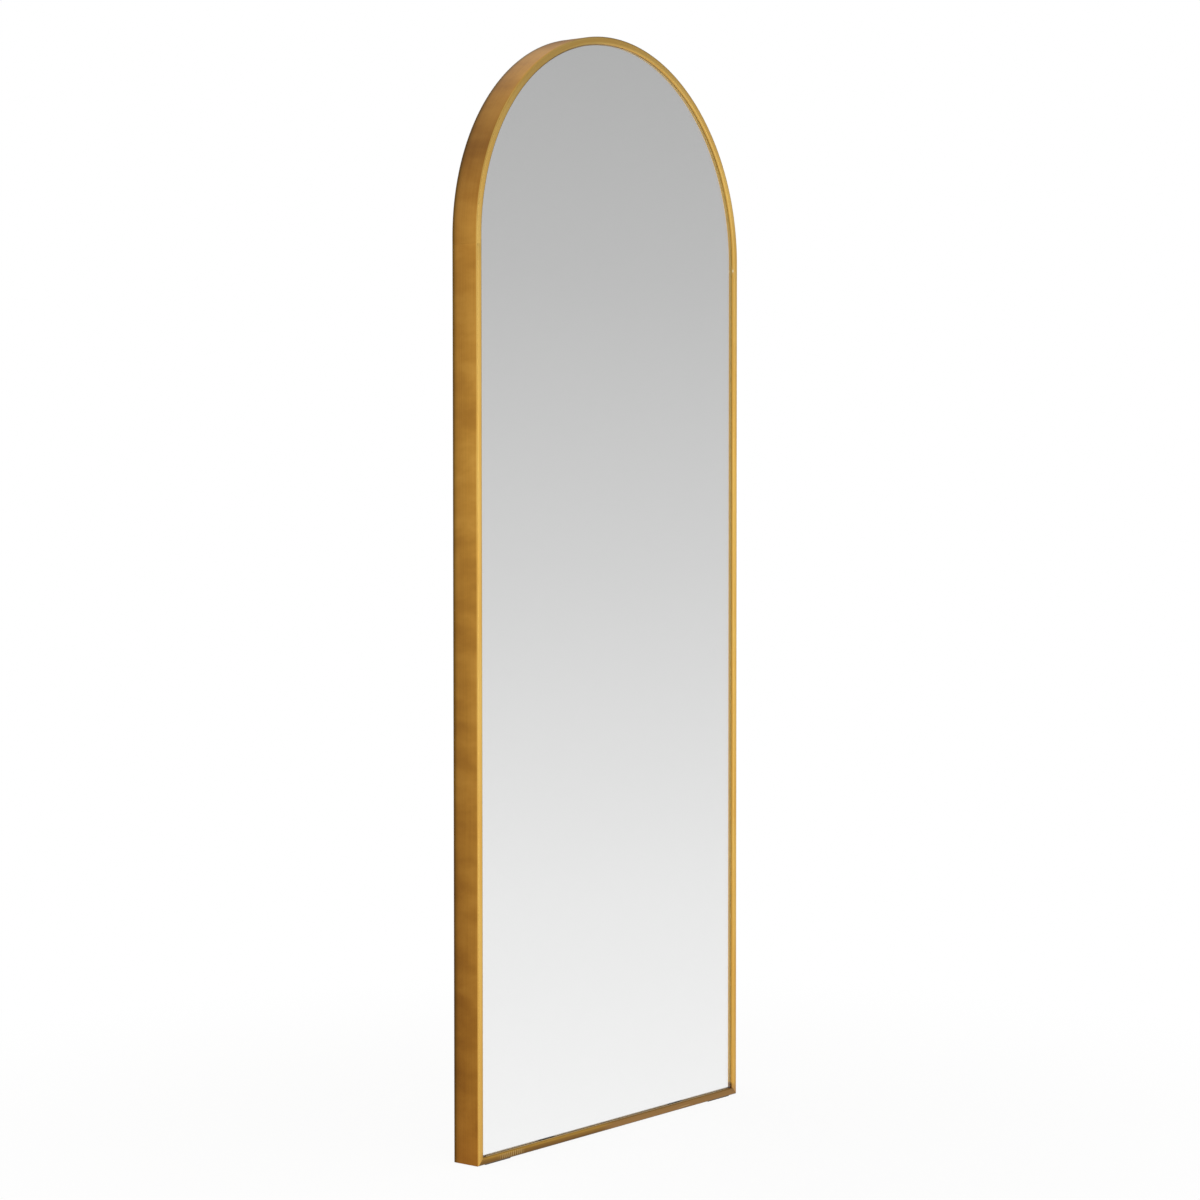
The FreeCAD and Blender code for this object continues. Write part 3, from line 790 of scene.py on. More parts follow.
@dataclass(frozen=True)
class Foam(Finish):
    """Closed-cell foam of the mounting tape."""

    name: str = "tape_foam"
    pale: Colour = (0.84, 0.84, 0.81)
    dim: Colour = (0.68, 0.68, 0.65)

    def paint(self, s: Shades) -> None:
        """Adds the nodes: small round cells, each darker towards its wall."""
        cells = s.add("TexVoronoi", {"Vector": s.place(), "Scale": 900.0}).outputs["Distance"]
        s.surface({"Base Color": s.mix(s.step(cells, 0.1, 0.8), self.dim, self.pale),
                   "Roughness": 0.9, "Normal": s.bump(cells, 0.5, 0.0002)})


@dataclass(frozen=True)
class Rubber(Finish):
    """Dark brown moulded rubber with a fine grain and worn, dusty patches."""

    name: str = "pad_rubber"
    brown: Colour = (0.036, 0.025, 0.013)
    worn: Colour = (0.100, 0.076, 0.046)

    def paint(self, s: Shades) -> None:
        """Adds the nodes: fine grain over wide dusty patches.

        Args:
            s: The material's nodes.
        """
        place = s.place()
        grain = s.noise(place, 1800.0, 2.0, 0.7)
        dust = s.step(s.noise(place, 70.0, 4.0, 0.6), 0.45, 0.7)
        s.surface({"Base Color": s.mix(dust, self.brown, self.worn),
                   "Roughness": s.step(grain, 0.3, 0.7, 0.65, 0.85),
                   "Normal": s.bump(grain, 0.4, 0.0001)})


@dataclass(frozen=True)
class ClearRubber(Finish):
    """Clear soft bumper, faintly yellow, with a little dust on it."""

    name: str = "clear_bumper"
    clear: Colour = (0.93, 0.93, 0.89)
    dusty: Colour = (0.84, 0.83, 0.78)

    def paint(self, s: Shades) -> None:
        """Adds the nodes: clear, with faint cloudy patches and an orange-peel surface.

        Args:
            s: The material's nodes.
        """
        place = s.place()
        dust = s.step(s.noise(place, 420.0, 3.0), 0.45, 0.75)
        peel = s.noise(place, 700.0, 1.0)
        s.surface({"Base Color": s.mix(dust, self.clear, self.dusty), "Roughness": 0.12,
                   "IOR": 1.48, "Transmission Weight": 0.9,
                   "Normal": s.bump(peel, 0.15, 0.0001)})


# ---------------------------------------------------------------- frame tubes


@dataclass(frozen=True)
class Run:
    """The line that a tube's section is carried along.

    Attributes:
        centre: Points of the line (n, 3).
        tangent: Its direction (n, 3).
        outward: Unit vector away from the opening (n, 3).
        length: Metres along it (n,).
        slide: How far a point slides along the tangent for each metre outward (n,), which
            cuts the end at a mitre.
    """

    centre: Array
    tangent: Array
    outward: Array
    length: Array
    slide: Array


@dataclass
class FrameTubes:
    """The four welded tubes round the pane: the arch, two stiles and the bottom rail.

    Attributes:
        half_width: Half the frame's width.
        bottom: Height of the frame's lower edge.
        spring: Height of the arch's centre.
        joint: Height of the weld between arch and stile.
        face: Width of the tube's front face.
        depth: Depth of the tube from front to back.
        front: Y of the front face.
        wall: Thickness of the tube's wall.
        outer_radius: Radius of its outer corners.
        inner_radius: Radius of its inner corners.
        groove: Depth of the fine line left at each ground weld.
        groove_run: Length over which the tube dips into that line.
        nick_height: How far the small knock at the right weld stands up.
        nick_spread: Spread of that knock along the tube.
        corner_shade_reach: How far the painted shade reaches from the opening's lower corners.
        crown: How far the front face's edges lie behind its middle.
        foot: Height above the floor to which the right stile is tarnished.
    """

    half_width: float = HALF_WIDTH
    bottom: float = FRAME_BOTTOM
    spring: float = SPRING_LINE
    joint: float = SPRING_LINE - 12.0 * MM
    face: float = TUBE_FACE
    depth: float = TUBE_DEPTH
    front: float = FRAME_FRONT
    wall: float = 1.5 * MM
    outer_radius: float = 2.4 * MM
    inner_radius: float = 0.9 * MM
    groove: float = 0.07 * MM
    groove_run: float = 0.45 * MM
    nick_height: float = 0.35 * MM
    nick_spread: float = 2.2627 * MM
    corner_shade_reach: float = 10.0 * MM
    crown: float = 0.50 * MM
    foot: float = 26.0 * MM

    @property
    def centre_radius(self) -> float:
        """Distance of the tube's centre line from the middle of the frame."""
        return self.half_width - self.face / 2

    def section(self, inset: float, radius: float) -> tuple[Array, Array, Array, Array]:
        """The tube's rounded oblong, from the middle of its outer flank towards the front.

        Each corner is a quarter circle of eight steps, each flat a run between two corners
        with a few points on it, closer together near the corners. The front is crowned: it
        falls back as the fourth power of the distance from its middle line.

        Args:
            inset: How far the oblong lies inside the tube's outer surface.
            radius: Radius of its corners.

        Returns:
            Places (n, 2) as outward and back from the tube's centre, the outward normals
            (n, 2), the lengths round it (n + 1,), and how much each point has the front
            face's gold (n,): all of that face, and the inner wall in front of the pane.
        """
        half = np.array([self.face / 2 - inset, self.depth / 2 - inset])
        signs = np.array([[1, -1], [-1, -1], [-1, 1], [1, 1]], float)
        start = np.array([0.0, -90.0, -180.0, -270.0])
        turn = np.radians(start[:, None] - np.linspace(0, 90, 9)[None, :])
        normals = np.stack([np.cos(turn), np.sin(turn)], axis=-1)
        arcs = (signs * (half - radius))[:, None, :] + radius * normals
        flats, flat_normals = [], []
        for corner in range(4):
            a, b = arcs[corner, -1], arcs[(corner + 1) % 4, 0]
            share = np.array([0.04, 0.09, 0.2, 0.4, 0.6, 0.8, 0.91, 0.96])[:, None]
            flats.append(a + (b - a) * share)
            flat_normals.append(np.repeat(normals[corner, -1:], len(share), axis=0))
        places = np.concatenate([x for pair in zip(arcs, flats) for x in pair])
        turned = np.concatenate([x for pair in zip(normals, flat_normals) for x in pair])
        steps = np.linalg.norm(np.roll(places, -1, axis=0) - places, axis=1)
        round_it = np.concatenate([[0.0], np.cumsum(steps)])
        front = places[:, 1] <= radius - half[1] + 1e-9
        across = np.abs(places[:, 0]) / (self.face / 2)
        places[:, 1] += np.where(front, self.crown * across**4, 0.0)
        inner = smooth(-turned[:, 0], 0.2, 0.7) * (1 - smooth(places[:, 1], -14 * MM, -4 * MM))
        facing = np.maximum(smooth(-turned[:, 1], 0.15, 0.85), inner)
        return places, turned, round_it, facing

    def straight(self, first: Array, last: Array, outward: Array, mitres: tuple[bool, bool],
                 extra: Array) -> Run:
        """A straight run whose ends may be cut at 45 degrees.

        Args:
            first: Where the centre line starts.
            last: Where it ends.
            outward: Unit vector away from the opening.
            mitres: Whether the first and the last end are mitred.
            extra: More lengths at which the grid has a row.

        Returns:
            The run.
        """
        total = float(np.linalg.norm(last - first))
        plain = np.linspace(0, total, max(3, round(total / 0.04)))
        near = np.array([0.33, 0.66, 1.0]) * self.groove_run
        corner = np.array([2.5, 5.0, 7.5, 10.0, 12.5, 15.0, 18.0, 22.0, 30.0]) * MM
        starts = [plain, near, total - near, extra] + [corner] * mitres[0]
        starts += [total - corner] * mitres[1]
        length = np.unique(np.concatenate(starts).round(7))
        tangent = (last - first) / total
        reach = 30 * MM
        slide = np.zeros_like(length)
        if mitres[0]:
            slide -= 1 - np.clip(length / reach, 0, 1)
        if mitres[1]:
            slide += 1 - np.clip((total - length) / reach, 0, 1)
        rows = len(length)
        return Run(first + tangent * length[:, None], np.repeat(tangent[None], rows, axis=0),
                   np.repeat(outward[None], rows, axis=0), length, slide)

    def bend(self) -> Run:
        """The arch from the left weld over the top to the right weld.

        A straight tail, half a circle of centre_radius about the spring line's middle, and
        a straight tail again.

        Returns:
            The run.
        """
        tail, radius = self.spring - self.joint, self.centre_radius
        half_turn = math.pi * radius
        near = np.array([0.33, 0.66, 1.0, 2.0, 3.5, 5.0, 8.0]) * self.groove_run
        total = half_turn + 2 * tail
        length = np.unique(np.concatenate([
            np.linspace(0, tail, 4), tail + np.linspace(0, half_turn, 181),
            total - np.linspace(0, tail, 4), near, total - near]).round(7))
        angle = math.pi - np.clip((length - tail) / radius, 0, math.pi)
        below = np.maximum(tail - length, 0) + np.maximum(length - total + tail, 0)
        outward = np.stack([np.cos(angle), 0 * angle, np.sin(angle)], axis=1)
        tangent = np.stack([np.sin(angle), 0 * angle, -np.cos(angle)], axis=1)
        centre = radius * outward + np.array([0, 0, self.spring])
        centre[:, 2] -= below
        return Run(centre, tangent, outward, length, np.zeros_like(length))

    def carry(self, run: Run, places: Array, normals: Array, lift: Array) -> Array:
        """Carries a section along a run.

        A point is the centre, plus the place's outward part times the run's outward vector,
        plus its back part along Y, plus the slide along the tangent, plus the lift along the
        section's normal.

        Args:
            run: The run.
            places: The section (m, 2).
            normals: Its normals (m, 2).
            lift: Metres along the normal (n, m).

        Returns:
            Points (n, m, 3).
        """
        across = places[None, :, 0] + lift * normals[None, :, 0]
        back = places[None, :, 1] + lift * normals[None, :, 1] + self.front + self.depth / 2
        slide = across * run.slide[:, None]
        grid = (run.centre[:, None, :] + across[..., None] * run.outward[:, None, :]
                + slide[..., None] * run.tangent[:, None, :])
        grid[..., 1] += back
        return grid

    def corner_shade(self, points: Array) -> Array:
        """How much a point is darkened by painted shade in the mitres' inner corners.

        Args:
            points: Points (..., 3).

        Returns:
            1 within corner_shade_reach / 2 of an inner corner of the opening, 0 from
            corner_shade_reach on.
        """
        away = np.hypot(np.abs(points[..., 0]) - (self.half_width - self.face),
                        points[..., 2] - (self.bottom + self.face))
        return 1 - smooth(away, self.corner_shade_reach / 2, self.corner_shade_reach)

    def tube(self, name: str, run: Run, nicks: tuple[float, ...] = ()) -> Shell:
        """A hollow tube: its outer wall, its inner wall and the rings that close its ends.

        The outer wall dips by the groove's depth over the groove's run at each end. A nick
        is a bell curve of the length, raised on the inner front corner. The lines along the
        corners (the darker one painted shade, the rail's inner one a painted highlight) are
        bell curves of the angle by which the surface is turned from the front, in degrees,
        with the opening's side positive.

        Args:
            name: The piece's name.
            run: Its line.
            nicks: Lengths along the run at which the inner front corner has a nick.

        Returns:
            The shell.
        """
        places, normals, round_it, facing = self.section(0.0, self.outer_radius)
        core, core_normals, _, _ = self.section(self.wall, self.inner_radius)
        ends = np.minimum(run.length, run.length[-1] - run.length)
        lift = -self.groove * (1 - smooth(ends, 0.0, self.groove_run))[:, None]
        lift = lift + np.zeros((1, len(places)))
        corner = smooth(-normals[:, 0], 0.1, 0.9) * smooth(-normals[:, 1], -0.2, 0.5)
        knock = np.zeros_like(lift)
        for where in nicks:
            knock = knock + np.outer(bell(run.length, where, self.nick_spread), corner)
        lift = lift + self.nick_height * knock
        outer = self.carry(run, places, normals, lift)
        inner = self.carry(run, core, core_normals, np.zeros((1, len(core))))
        wall = np.concatenate([outer, inner[::-1]])
        worn = np.concatenate([knock, 0 * knock])
        across = np.append(places[:, 0], places[0, 0])
        along = run.length[:, None] + across[None, :] * run.slide[:, None]
        uv = np.stack([along, np.broadcast_to(round_it, along.shape)], axis=-1)
        uv = np.concatenate([uv, uv[::-1], uv[:1]])
        level = smooth(np.abs(run.tangent[:, 0]), 0.25, 1.0)
        level = np.concatenate([level, level[::-1]])[:, None]
        turned = np.degrees(np.arctan2(-normals[:, 0], -normals[:, 1]))
        far = smooth(run.outward[:, 0], -0.5, 0.0)
        far = np.concatenate([far, far[::-1]])[:, None]
        # Painted shade along one front corner of each tube: the inner one on the left stile, the
        # outer one elsewhere.
        edges = (bell(turned, -42 - 8 * level, 20 + 6 * level) * far
                 + bell(turned, 38, 22) * (1 - far))
        tarnish = (1 - smooth(wall[..., 2], 0.3 * self.foot, self.foot)) * (wall[..., 0] > 0)
        notes = {"facing": facing, "level": level, "inner_line": bell(turned, 74, 15),
                 "painted_edge_shade": 0.9 * edges,
                 # Painted shade in the inner corners, strongest on surfaces facing into the
                 # opening.
                 "corner_shade": self.corner_shade(wall) * (0.25 + 0.75 * smooth(turned, 40.0, 75.0)),
                 # rear: where the rear corner's painted shade lies.
                 "rear": smooth(places[:, 1], self.depth / 2 - 9 * MM, self.depth / 2 - 3 * MM),
                 "tarnish": tarnish, "worn": worn}
        shell = Shell(name)
        shell.add(wall, uv, (True, True), notes={
            key: np.broadcast_to(value, wall.shape[:2]) for key, value in notes.items()})
        return shell

    def build(self, brass: bpy.types.Material, rail: bpy.types.Material) -> None:
        """Makes the four tubes in place of the CAD tubes.

        Args:
            brass: Finish of the arch and the stiles.
            rail: Finish of the bottom rail.
        """
        left, low, top = -self.centre_radius, self.bottom + self.face / 2, self.joint
        none = np.array([])
        right_rows = top - low - np.array([0.5, 1.0, 1.6, 2.4, 3.4, 5.0]) * MM
        x_axis, z_axis = np.array([1.0, 0, 0]), np.array([0, 0, 1.0])
        runs = {
            "left_stile": self.straight(np.array([left, 0, low]), np.array([left, 0, top]),
                                        -x_axis, (True, False), none),
            "right_stile": self.straight(np.array([-left, 0, low]), np.array([-left, 0, top]),
                                         x_axis, (True, False), right_rows),
            "bottom_rail": self.straight(np.array([left, 0, low]), np.array([-left, 0, low]),
                                         -z_axis, (True, True), none),
            "arch_tube": self.bend(),
        }
        nicks = {"right_stile": (top - low,), "arch_tube": (runs["arch_tube"].length[-1],)}
        for node, run in runs.items():
            shell = self.tube(node + "_brass", run, nicks.get(node, ()))
            finish = rail if node == "bottom_rail" else brass
            shell.build("mirror", Slot.FRAME_METAL, [finish], (node,))


# ---------------------------------------------------------------- pane


@dataclass
class SilveredPane:
    """The arched glass pane with its silvered back and its sealed edges, whose gold is partly
    painted reflection.

    Attributes:
        half_width: Half its width: it clears the tubes by 0.5 mm.
        bottom: Height of its lower edge, on the setting blocks.
        spring: Height of the arch's centre.
        front: Y of its front, 3.2 mm behind the frame's.
        thickness: Glass thickness.
        arris: Width of the small bevel along its edges.
        film_gap: Clear space kept between the silver and the safety film.
        corner_shade_reach: How far the seal is darkened by painted shade from the lower corners.
    """

    half_width: float = HALF_WIDTH - TUBE_FACE - 0.5 * MM
    bottom: float = FRAME_BOTTOM + TUBE_FACE + 0.5 * MM
    spring: float = SPRING_LINE
    front: float = FRAME_FRONT + 3.2 * MM
    thickness: float = 5.0 * MM
    arris: float = 0.08 * MM
    film_gap: float = 0.02 * MM
    corner_shade_reach: float = 12.0 * MM

    def sheet(self, inset: float, back: float) -> Array:
        """Rows across the pane from its apex to its lower edge.

        Each row ends on the outline: a quarter circle of radius half_width - inset about
        the spring line's middle on both sides, then a straight line down. Rows and columns
        lie close together near the lower corners.

        Args:
            inset: How far it lies inside the pane's edge.
            back: Its Y.

        Returns:
            Points (rows, columns, 3).
        """
        radius = self.half_width - inset
        angle = np.linspace(math.pi / 2, 0, 91)
        close = np.array([2.0, 4.0, 6.0, 8.0, 10.0]) * MM
        line = np.linspace(self.spring, self.bottom + close[-1], 31)[1:]
        low = np.concatenate([line, (self.bottom + close)[-2::-1], [self.bottom + inset]])
        reach = np.concatenate([radius * np.cos(angle), np.full_like(low, radius)])
        height = np.concatenate([self.spring + radius * np.sin(angle), low])
        half = np.concatenate([np.linspace(0, 1 - 2 * close[-1] / radius, 4),
                               1 - close[::-1] / radius, [1.0]])
        share = np.concatenate([-half[:0:-1], half])
        return np.stack(np.broadcast_arrays(reach[:, None] * share, back, height[:, None]),
                        axis=-1)

    def rim(self, sheet: Array) -> Array:
        """The outline of a sheet's rows: down the right end, along the last row and up."""
        return np.concatenate([sheet[:, -1], sheet[-1, -2:0:-1], sheet[:0:-1, 0]])

    def build(self, glass: bpy.types.Material, silver: bpy.types.Material,
              seal: bpy.types.Material) -> None:
        """Makes the pane: four outlines give the edge, and sheets close front and back.

        Args:
            glass: Finish of the front.
            silver: Finish of the back.
            seal: Finish of the edge and its bevels.
        """
        front, back = self.front, self.front + self.thickness - self.film_gap
        steps = ((self.arris, front), (0.0, front + self.arris),
                 (0.0, back - self.arris), (self.arris, back))
        sheets = [self.sheet(inset, y) for inset, y in steps]
        loops = np.stack([self.rim(sheet) for sheet in sheets])
        shell = Shell("silvered_pane")
        for grid, number in ((loops, 2), (sheets[0], 0), (sheets[-1], 1)):
            away = np.hypot(np.abs(grid[..., 0]) - self.half_width, grid[..., 2] - self.bottom)
            # Painted shade near the pane's lower corners.
            corner_shade = 1 - smooth(away, self.corner_shade_reach / 2, self.corner_shade_reach)
            shell.add(grid, wraps=(False, number == 2), slot=number, notes={"corner_shade": corner_shade})
        shell.build("mirror", Slot.PANE, [glass, silver, seal], ("mirror_glass",))


# ---------------------------------------------------------------- screws, welds, pads


@dataclass(frozen=True)
class TabPlace:
    """Where a fixing tab meets the frame's inner wall.

    Attributes:
        x: Its middle on the wall.
        z: Its middle on the wall.
        angle: Direction into the opening, in radians from +X towards +Z.
    """

    x: float
    z: float
    angle: float

    @property
    def inward(self) -> Array:
        """Unit vector into the opening."""
        return np.array([math.cos(self.angle), 0.0, math.sin(self.angle)])


@dataclass(frozen=True)
class RingPlace:
    """Where a hanging ring swings in its strap.

    Attributes:
        node: The ring's CAD node.
        body: Its CAD body.
        x: Middle of the ring.
        z: Height of the swing axis.
    """

    node: str
    body: str
    x: float
    z: float


RING_PLACES = (
    RingPlace("left_hanger_ring", "left_ring", -233.0 * MM, 1300.0 * MM),
    RingPlace("right_hanger_ring", "right_ring", 233.0 * MM, 1300.0 * MM),
    RingPlace("tether_ring", "tether_ring_body", 0.0, 1640.0 * MM))


@dataclass
class TabFixings:
    """The fifteen tabs' welds, and the screws through tabs and hanger straps.

    Attributes:
        wall: Distance of the tube's inner wall from the middle.
        rail_top: Height of the bottom rail's upper side.
        spring: Height of the arch's centre.
        lowest: Height of the lowest tabs on the stiles.
        highest: Height of the highest tabs on the stiles.
        rail_tab: Distance of the rail's tabs from the middle.
        tab_rear: Y of the tabs' rear face.
        strap_rear: Y of the straps' rear face.
        screw_reach: Distance of a tab's screw from the wall.
        tab_length: Width of a tab along the wall.
        strap_drops: Distances of a strap's two screws below its ring's swing axis.
        bead: Size of the weld bead.
        ripple: Length of one ripple of the bead.
    """

    wall: float = HALF_WIDTH - TUBE_FACE
    rail_top: float = FRAME_BOTTOM + TUBE_FACE
    spring: float = SPRING_LINE
    lowest: float = LOWEST_TAB
    highest: float = SPRING_LINE - 162.0 * MM
    rail_tab: float = 171.0 * MM
    tab_rear: float = -5.5 * MM
    strap_rear: float = -5.1 * MM
    screw_reach: float = 12.0 * MM
    tab_length: float = 25.0 * MM
    strap_drops: tuple[float, float] = (30.0 * MM, 48.0 * MM)
    bead: float = 1.7 * MM
    ripple: float = 1.7 * MM

    def tabs(self) -> list[TabPlace]:
        """All tabs: five on the arch, four on each stile, two on the rail."""
        arch = [TabPlace(self.wall * math.cos(a), self.spring + self.wall * math.sin(a),
                         a + math.pi) for a in np.radians([30, 60, 90, 120, 150])]
        sides = [TabPlace(side * self.wall, z, math.pi if side > 0 else 0.0)
                 for side in (-1, 1) for z in np.linspace(self.lowest, self.highest, 4)]
        rail = [TabPlace(side * self.rail_tab, self.rail_top, math.pi / 2) for side in (-1, 1)]
        return arch + sides + rail

    def weld(self, place: TabPlace) -> Array:
        """A rippled fillet bead in the corner between the tab's rear face and the wall.

        Its section is a triangle with a hollow long side; its size swells as sin^0.3 along
        the bead, ripples by a tenth, and is nil at both ends.

        Args:
            place: The tab.

        Returns:
            Points (rows, columns, 3), wrapping in columns.
        """
        share = np.linspace(0, 1, 73)
        swell = np.sin(math.pi * share) ** 0.3
        ripples = 1 + 0.1 * np.abs(np.sin(share * self.tab_length / self.ripple * math.pi))
        size = self.bead * swell * ripples
        section = np.array([[0, 0], [1, 0], [0.62, 0.16], [0.36, 0.36], [0.16, 0.62], [0, 1]])
        into, side = place.inward, np.array([-place.inward[2], 0.0, place.inward[0]])
        along = (share - 0.5) * (self.tab_length - 1.5 * MM)
        root = np.array([place.x, self.tab_rear, place.z])
        grid = root + along[:, None, None] * side
        grid = grid + (size[:, None] * section[:, 0])[..., None] * into
        grid[..., 1] += size[:, None] * section[:, 1]
        sag = self.wall - np.sqrt(self.wall**2 - along**2) if place.z > self.spring else 0 * along
        return grid + sag[:, None, None] * into

    def build(self, brass: bpy.types.Material, zinc: bpy.types.Material) -> None:
        """Makes the weld beads and both sets of screws.

        Args:
            brass: Finish of the welds.
            zinc: Finish of the screws.
        """
        welds = Shell("tab_welds")
        for place in self.tabs():
            welds.add(self.weld(place), wraps=(False, True))
        welds.build("mirror", Slot.FRAME_METAL, [brass], crease=60.0)
        turn = np.random.default_rng(7)
        screw = PanHeadScrew()
        heads = [(place.x + self.screw_reach * place.inward[0],
                  place.z + self.screw_reach * place.inward[2]) for place in self.tabs()]
        straps = [(place.x, place.z - drop) for place in RING_PLACES for drop in self.strap_drops]
        for name, seat, places, node in (
                ("tab_screws_cross_head", self.tab_rear, heads, "tab_screws"),
                ("hanger_screws_cross_head", self.strap_rear, straps, "hanger_screws")):
            shell = Shell(name)
            for x, z in places:
                shell.add(screw.grid(x, seat, z, turn.uniform(0, TAU)), wraps=(False, True))
            shell.build("mirror", Slot.ZINC_PLATE, [zinc], (node,))


@dataclass
class PanHeadScrew:
    """A pan-head screw with a cross recess and a threaded shank, its head towards +Y.

    Attributes:
        head_radius: Radius of the head.
        head_height: Height of the head over its seat.
        crest: Radius over the thread.
        root: Radius under the thread.
        spacing: Length of one turn of the thread.
        shank: Length from the seat to the tip.
        recess: Depth of the cross at its middle.
        arm: Length of the cross's arms.
        slot_width: Width of the arms.
        columns: Steps round the screw.
    """

    head_radius: float = 4.0 * MM
    head_height: float = 2.4 * MM
    crest: float = 1.74 * MM
    root: float = 1.30 * MM
    spacing: float = 1.4 * MM
    shank: float = 9.9 * MM
    recess: float = 1.7 * MM
    arm: float = 2.2 * MM
    slot_width: float = 0.9 * MM
    columns: int = 40

    def grid(self, x: float, seat: float, z: float, turn: float) -> Array:
        """The screw's surface, from the middle of its head round its rim to the tip.

        Head: height times (1 - (r/R)^4)^(1/2.4), less the recess, which is the wider of two
        crossed bars and shallower towards their ends. Shank: the radius is the root's plus
        a triangle wave of angle and depth, and shrinks to nil over the tip.

        Args:
            x: Its axis.
            seat: Y of the surface under the head.
            z: Its axis.
            turn: How far the cross is turned, in radians.

        Returns:
            Points (rows, columns, 3), wrapping in columns.
        """
        angle = np.linspace(0, TAU, self.columns, endpoint=False)[None, :]
        share = np.concatenate([np.linspace(0, 0.6, 13), np.linspace(0.68, 1.0, 9)])[:, None]
        radius = self.head_radius * share + 0 * angle
        rise = self.head_height * (1 - share**4) ** (1 / 2.4) + 0 * angle
        p, q = radius * np.cos(angle), radius * np.sin(angle)
        soft, half = 0.15 * MM, self.slot_width / 2
        bars = [smooth(half - np.abs(b), -soft, soft) * smooth(self.arm - np.abs(a), -soft, soft)
                for a, b in ((p, q), (q, p))]
        fade = 1 - 0.6 * np.clip(radius / self.arm, 0, 1)
        rise = rise - self.recess * np.maximum(*bars) * fade
        depth = np.linspace(0, self.shank, 43)[:, None] + 0 * angle
        wave = np.abs((angle / TAU - depth / self.spacing) % 1.0 * 2 - 1)
        tip = np.clip((self.shank - depth) / (2.2 * MM), 0, 1)
        thread = (self.root + (self.crest - self.root) * wave) * np.minimum(1, tip)
        radius = np.concatenate([radius, thread])
        rise = np.concatenate([rise, -depth])
        grid = np.stack([radius * np.cos(angle + turn), rise, radius * np.sin(angle + turn)],
                        axis=-1)
        return grid + np.array([x, seat, z])


@dataclass
class WallBumpers:
    """Four clear domed bumpers on the frame's rear face.

    Attributes:
        radius: Radius of a bumper.
        height: How far it stands off the frame.
        rear: Y of the frame's rear face.
        reach: Distance of the tube's middle line from the middle of the frame.
        arch_angle: Angle at which the upper bumpers stand on the arch, in radians.
        low: Height of the lower bumpers.
    """

    radius: float = 4.0 * MM
    height: float = 2.0 * MM
    rear: float = FRAME_FRONT + TUBE_DEPTH
    reach: float = HALF_WIDTH - TUBE_FACE / 2
    arch_angle: float = math.radians(60.0)
    low: float = LOWEST_TAB

    def dome(self, x: float, z: float) -> Array:
        """A low dome: height times (1 - (r/R)^3.2)^(1/2) over a flat base.

        Args:
            x: Its axis.
            z: Its axis.

        Returns:
            Points (rows, columns, 3), wrapping in columns.
        """
        angle = np.linspace(0, TAU, 48, endpoint=False)[None, :]
        share = np.sin(np.linspace(0, math.pi / 2, 17))[:, None]
        rise = np.sqrt(np.clip(1 - share**3.2, 0, 1))
        share, rise = np.append(share, [[0.5], [0.0]])[:, None], np.append(rise, [[0], [0]])
        reach = self.radius * share
        return np.stack([x + reach * np.cos(angle),
                         self.rear + self.height * rise[:, None] + 0 * angle,
                         z + reach * np.sin(angle)], axis=-1)

    def build(self, clear: bpy.types.Material) -> None:
        """Makes the four bumpers.

        Args:
            clear: Their finish.
        """
        shell = Shell("wall_bumper_domes")
        upper = (self.reach * math.cos(self.arch_angle),
                 SPRING_LINE + self.reach * math.sin(self.arch_angle))
        for side in (-1, 1):
            for x, z in (upper, (self.reach, self.low)):
                shell.add(self.dome(side * x, z), wraps=(False, True))
        shell.build("mirror", Slot.CLEAR_BUMPER, [clear], ("wall_bumpers",))


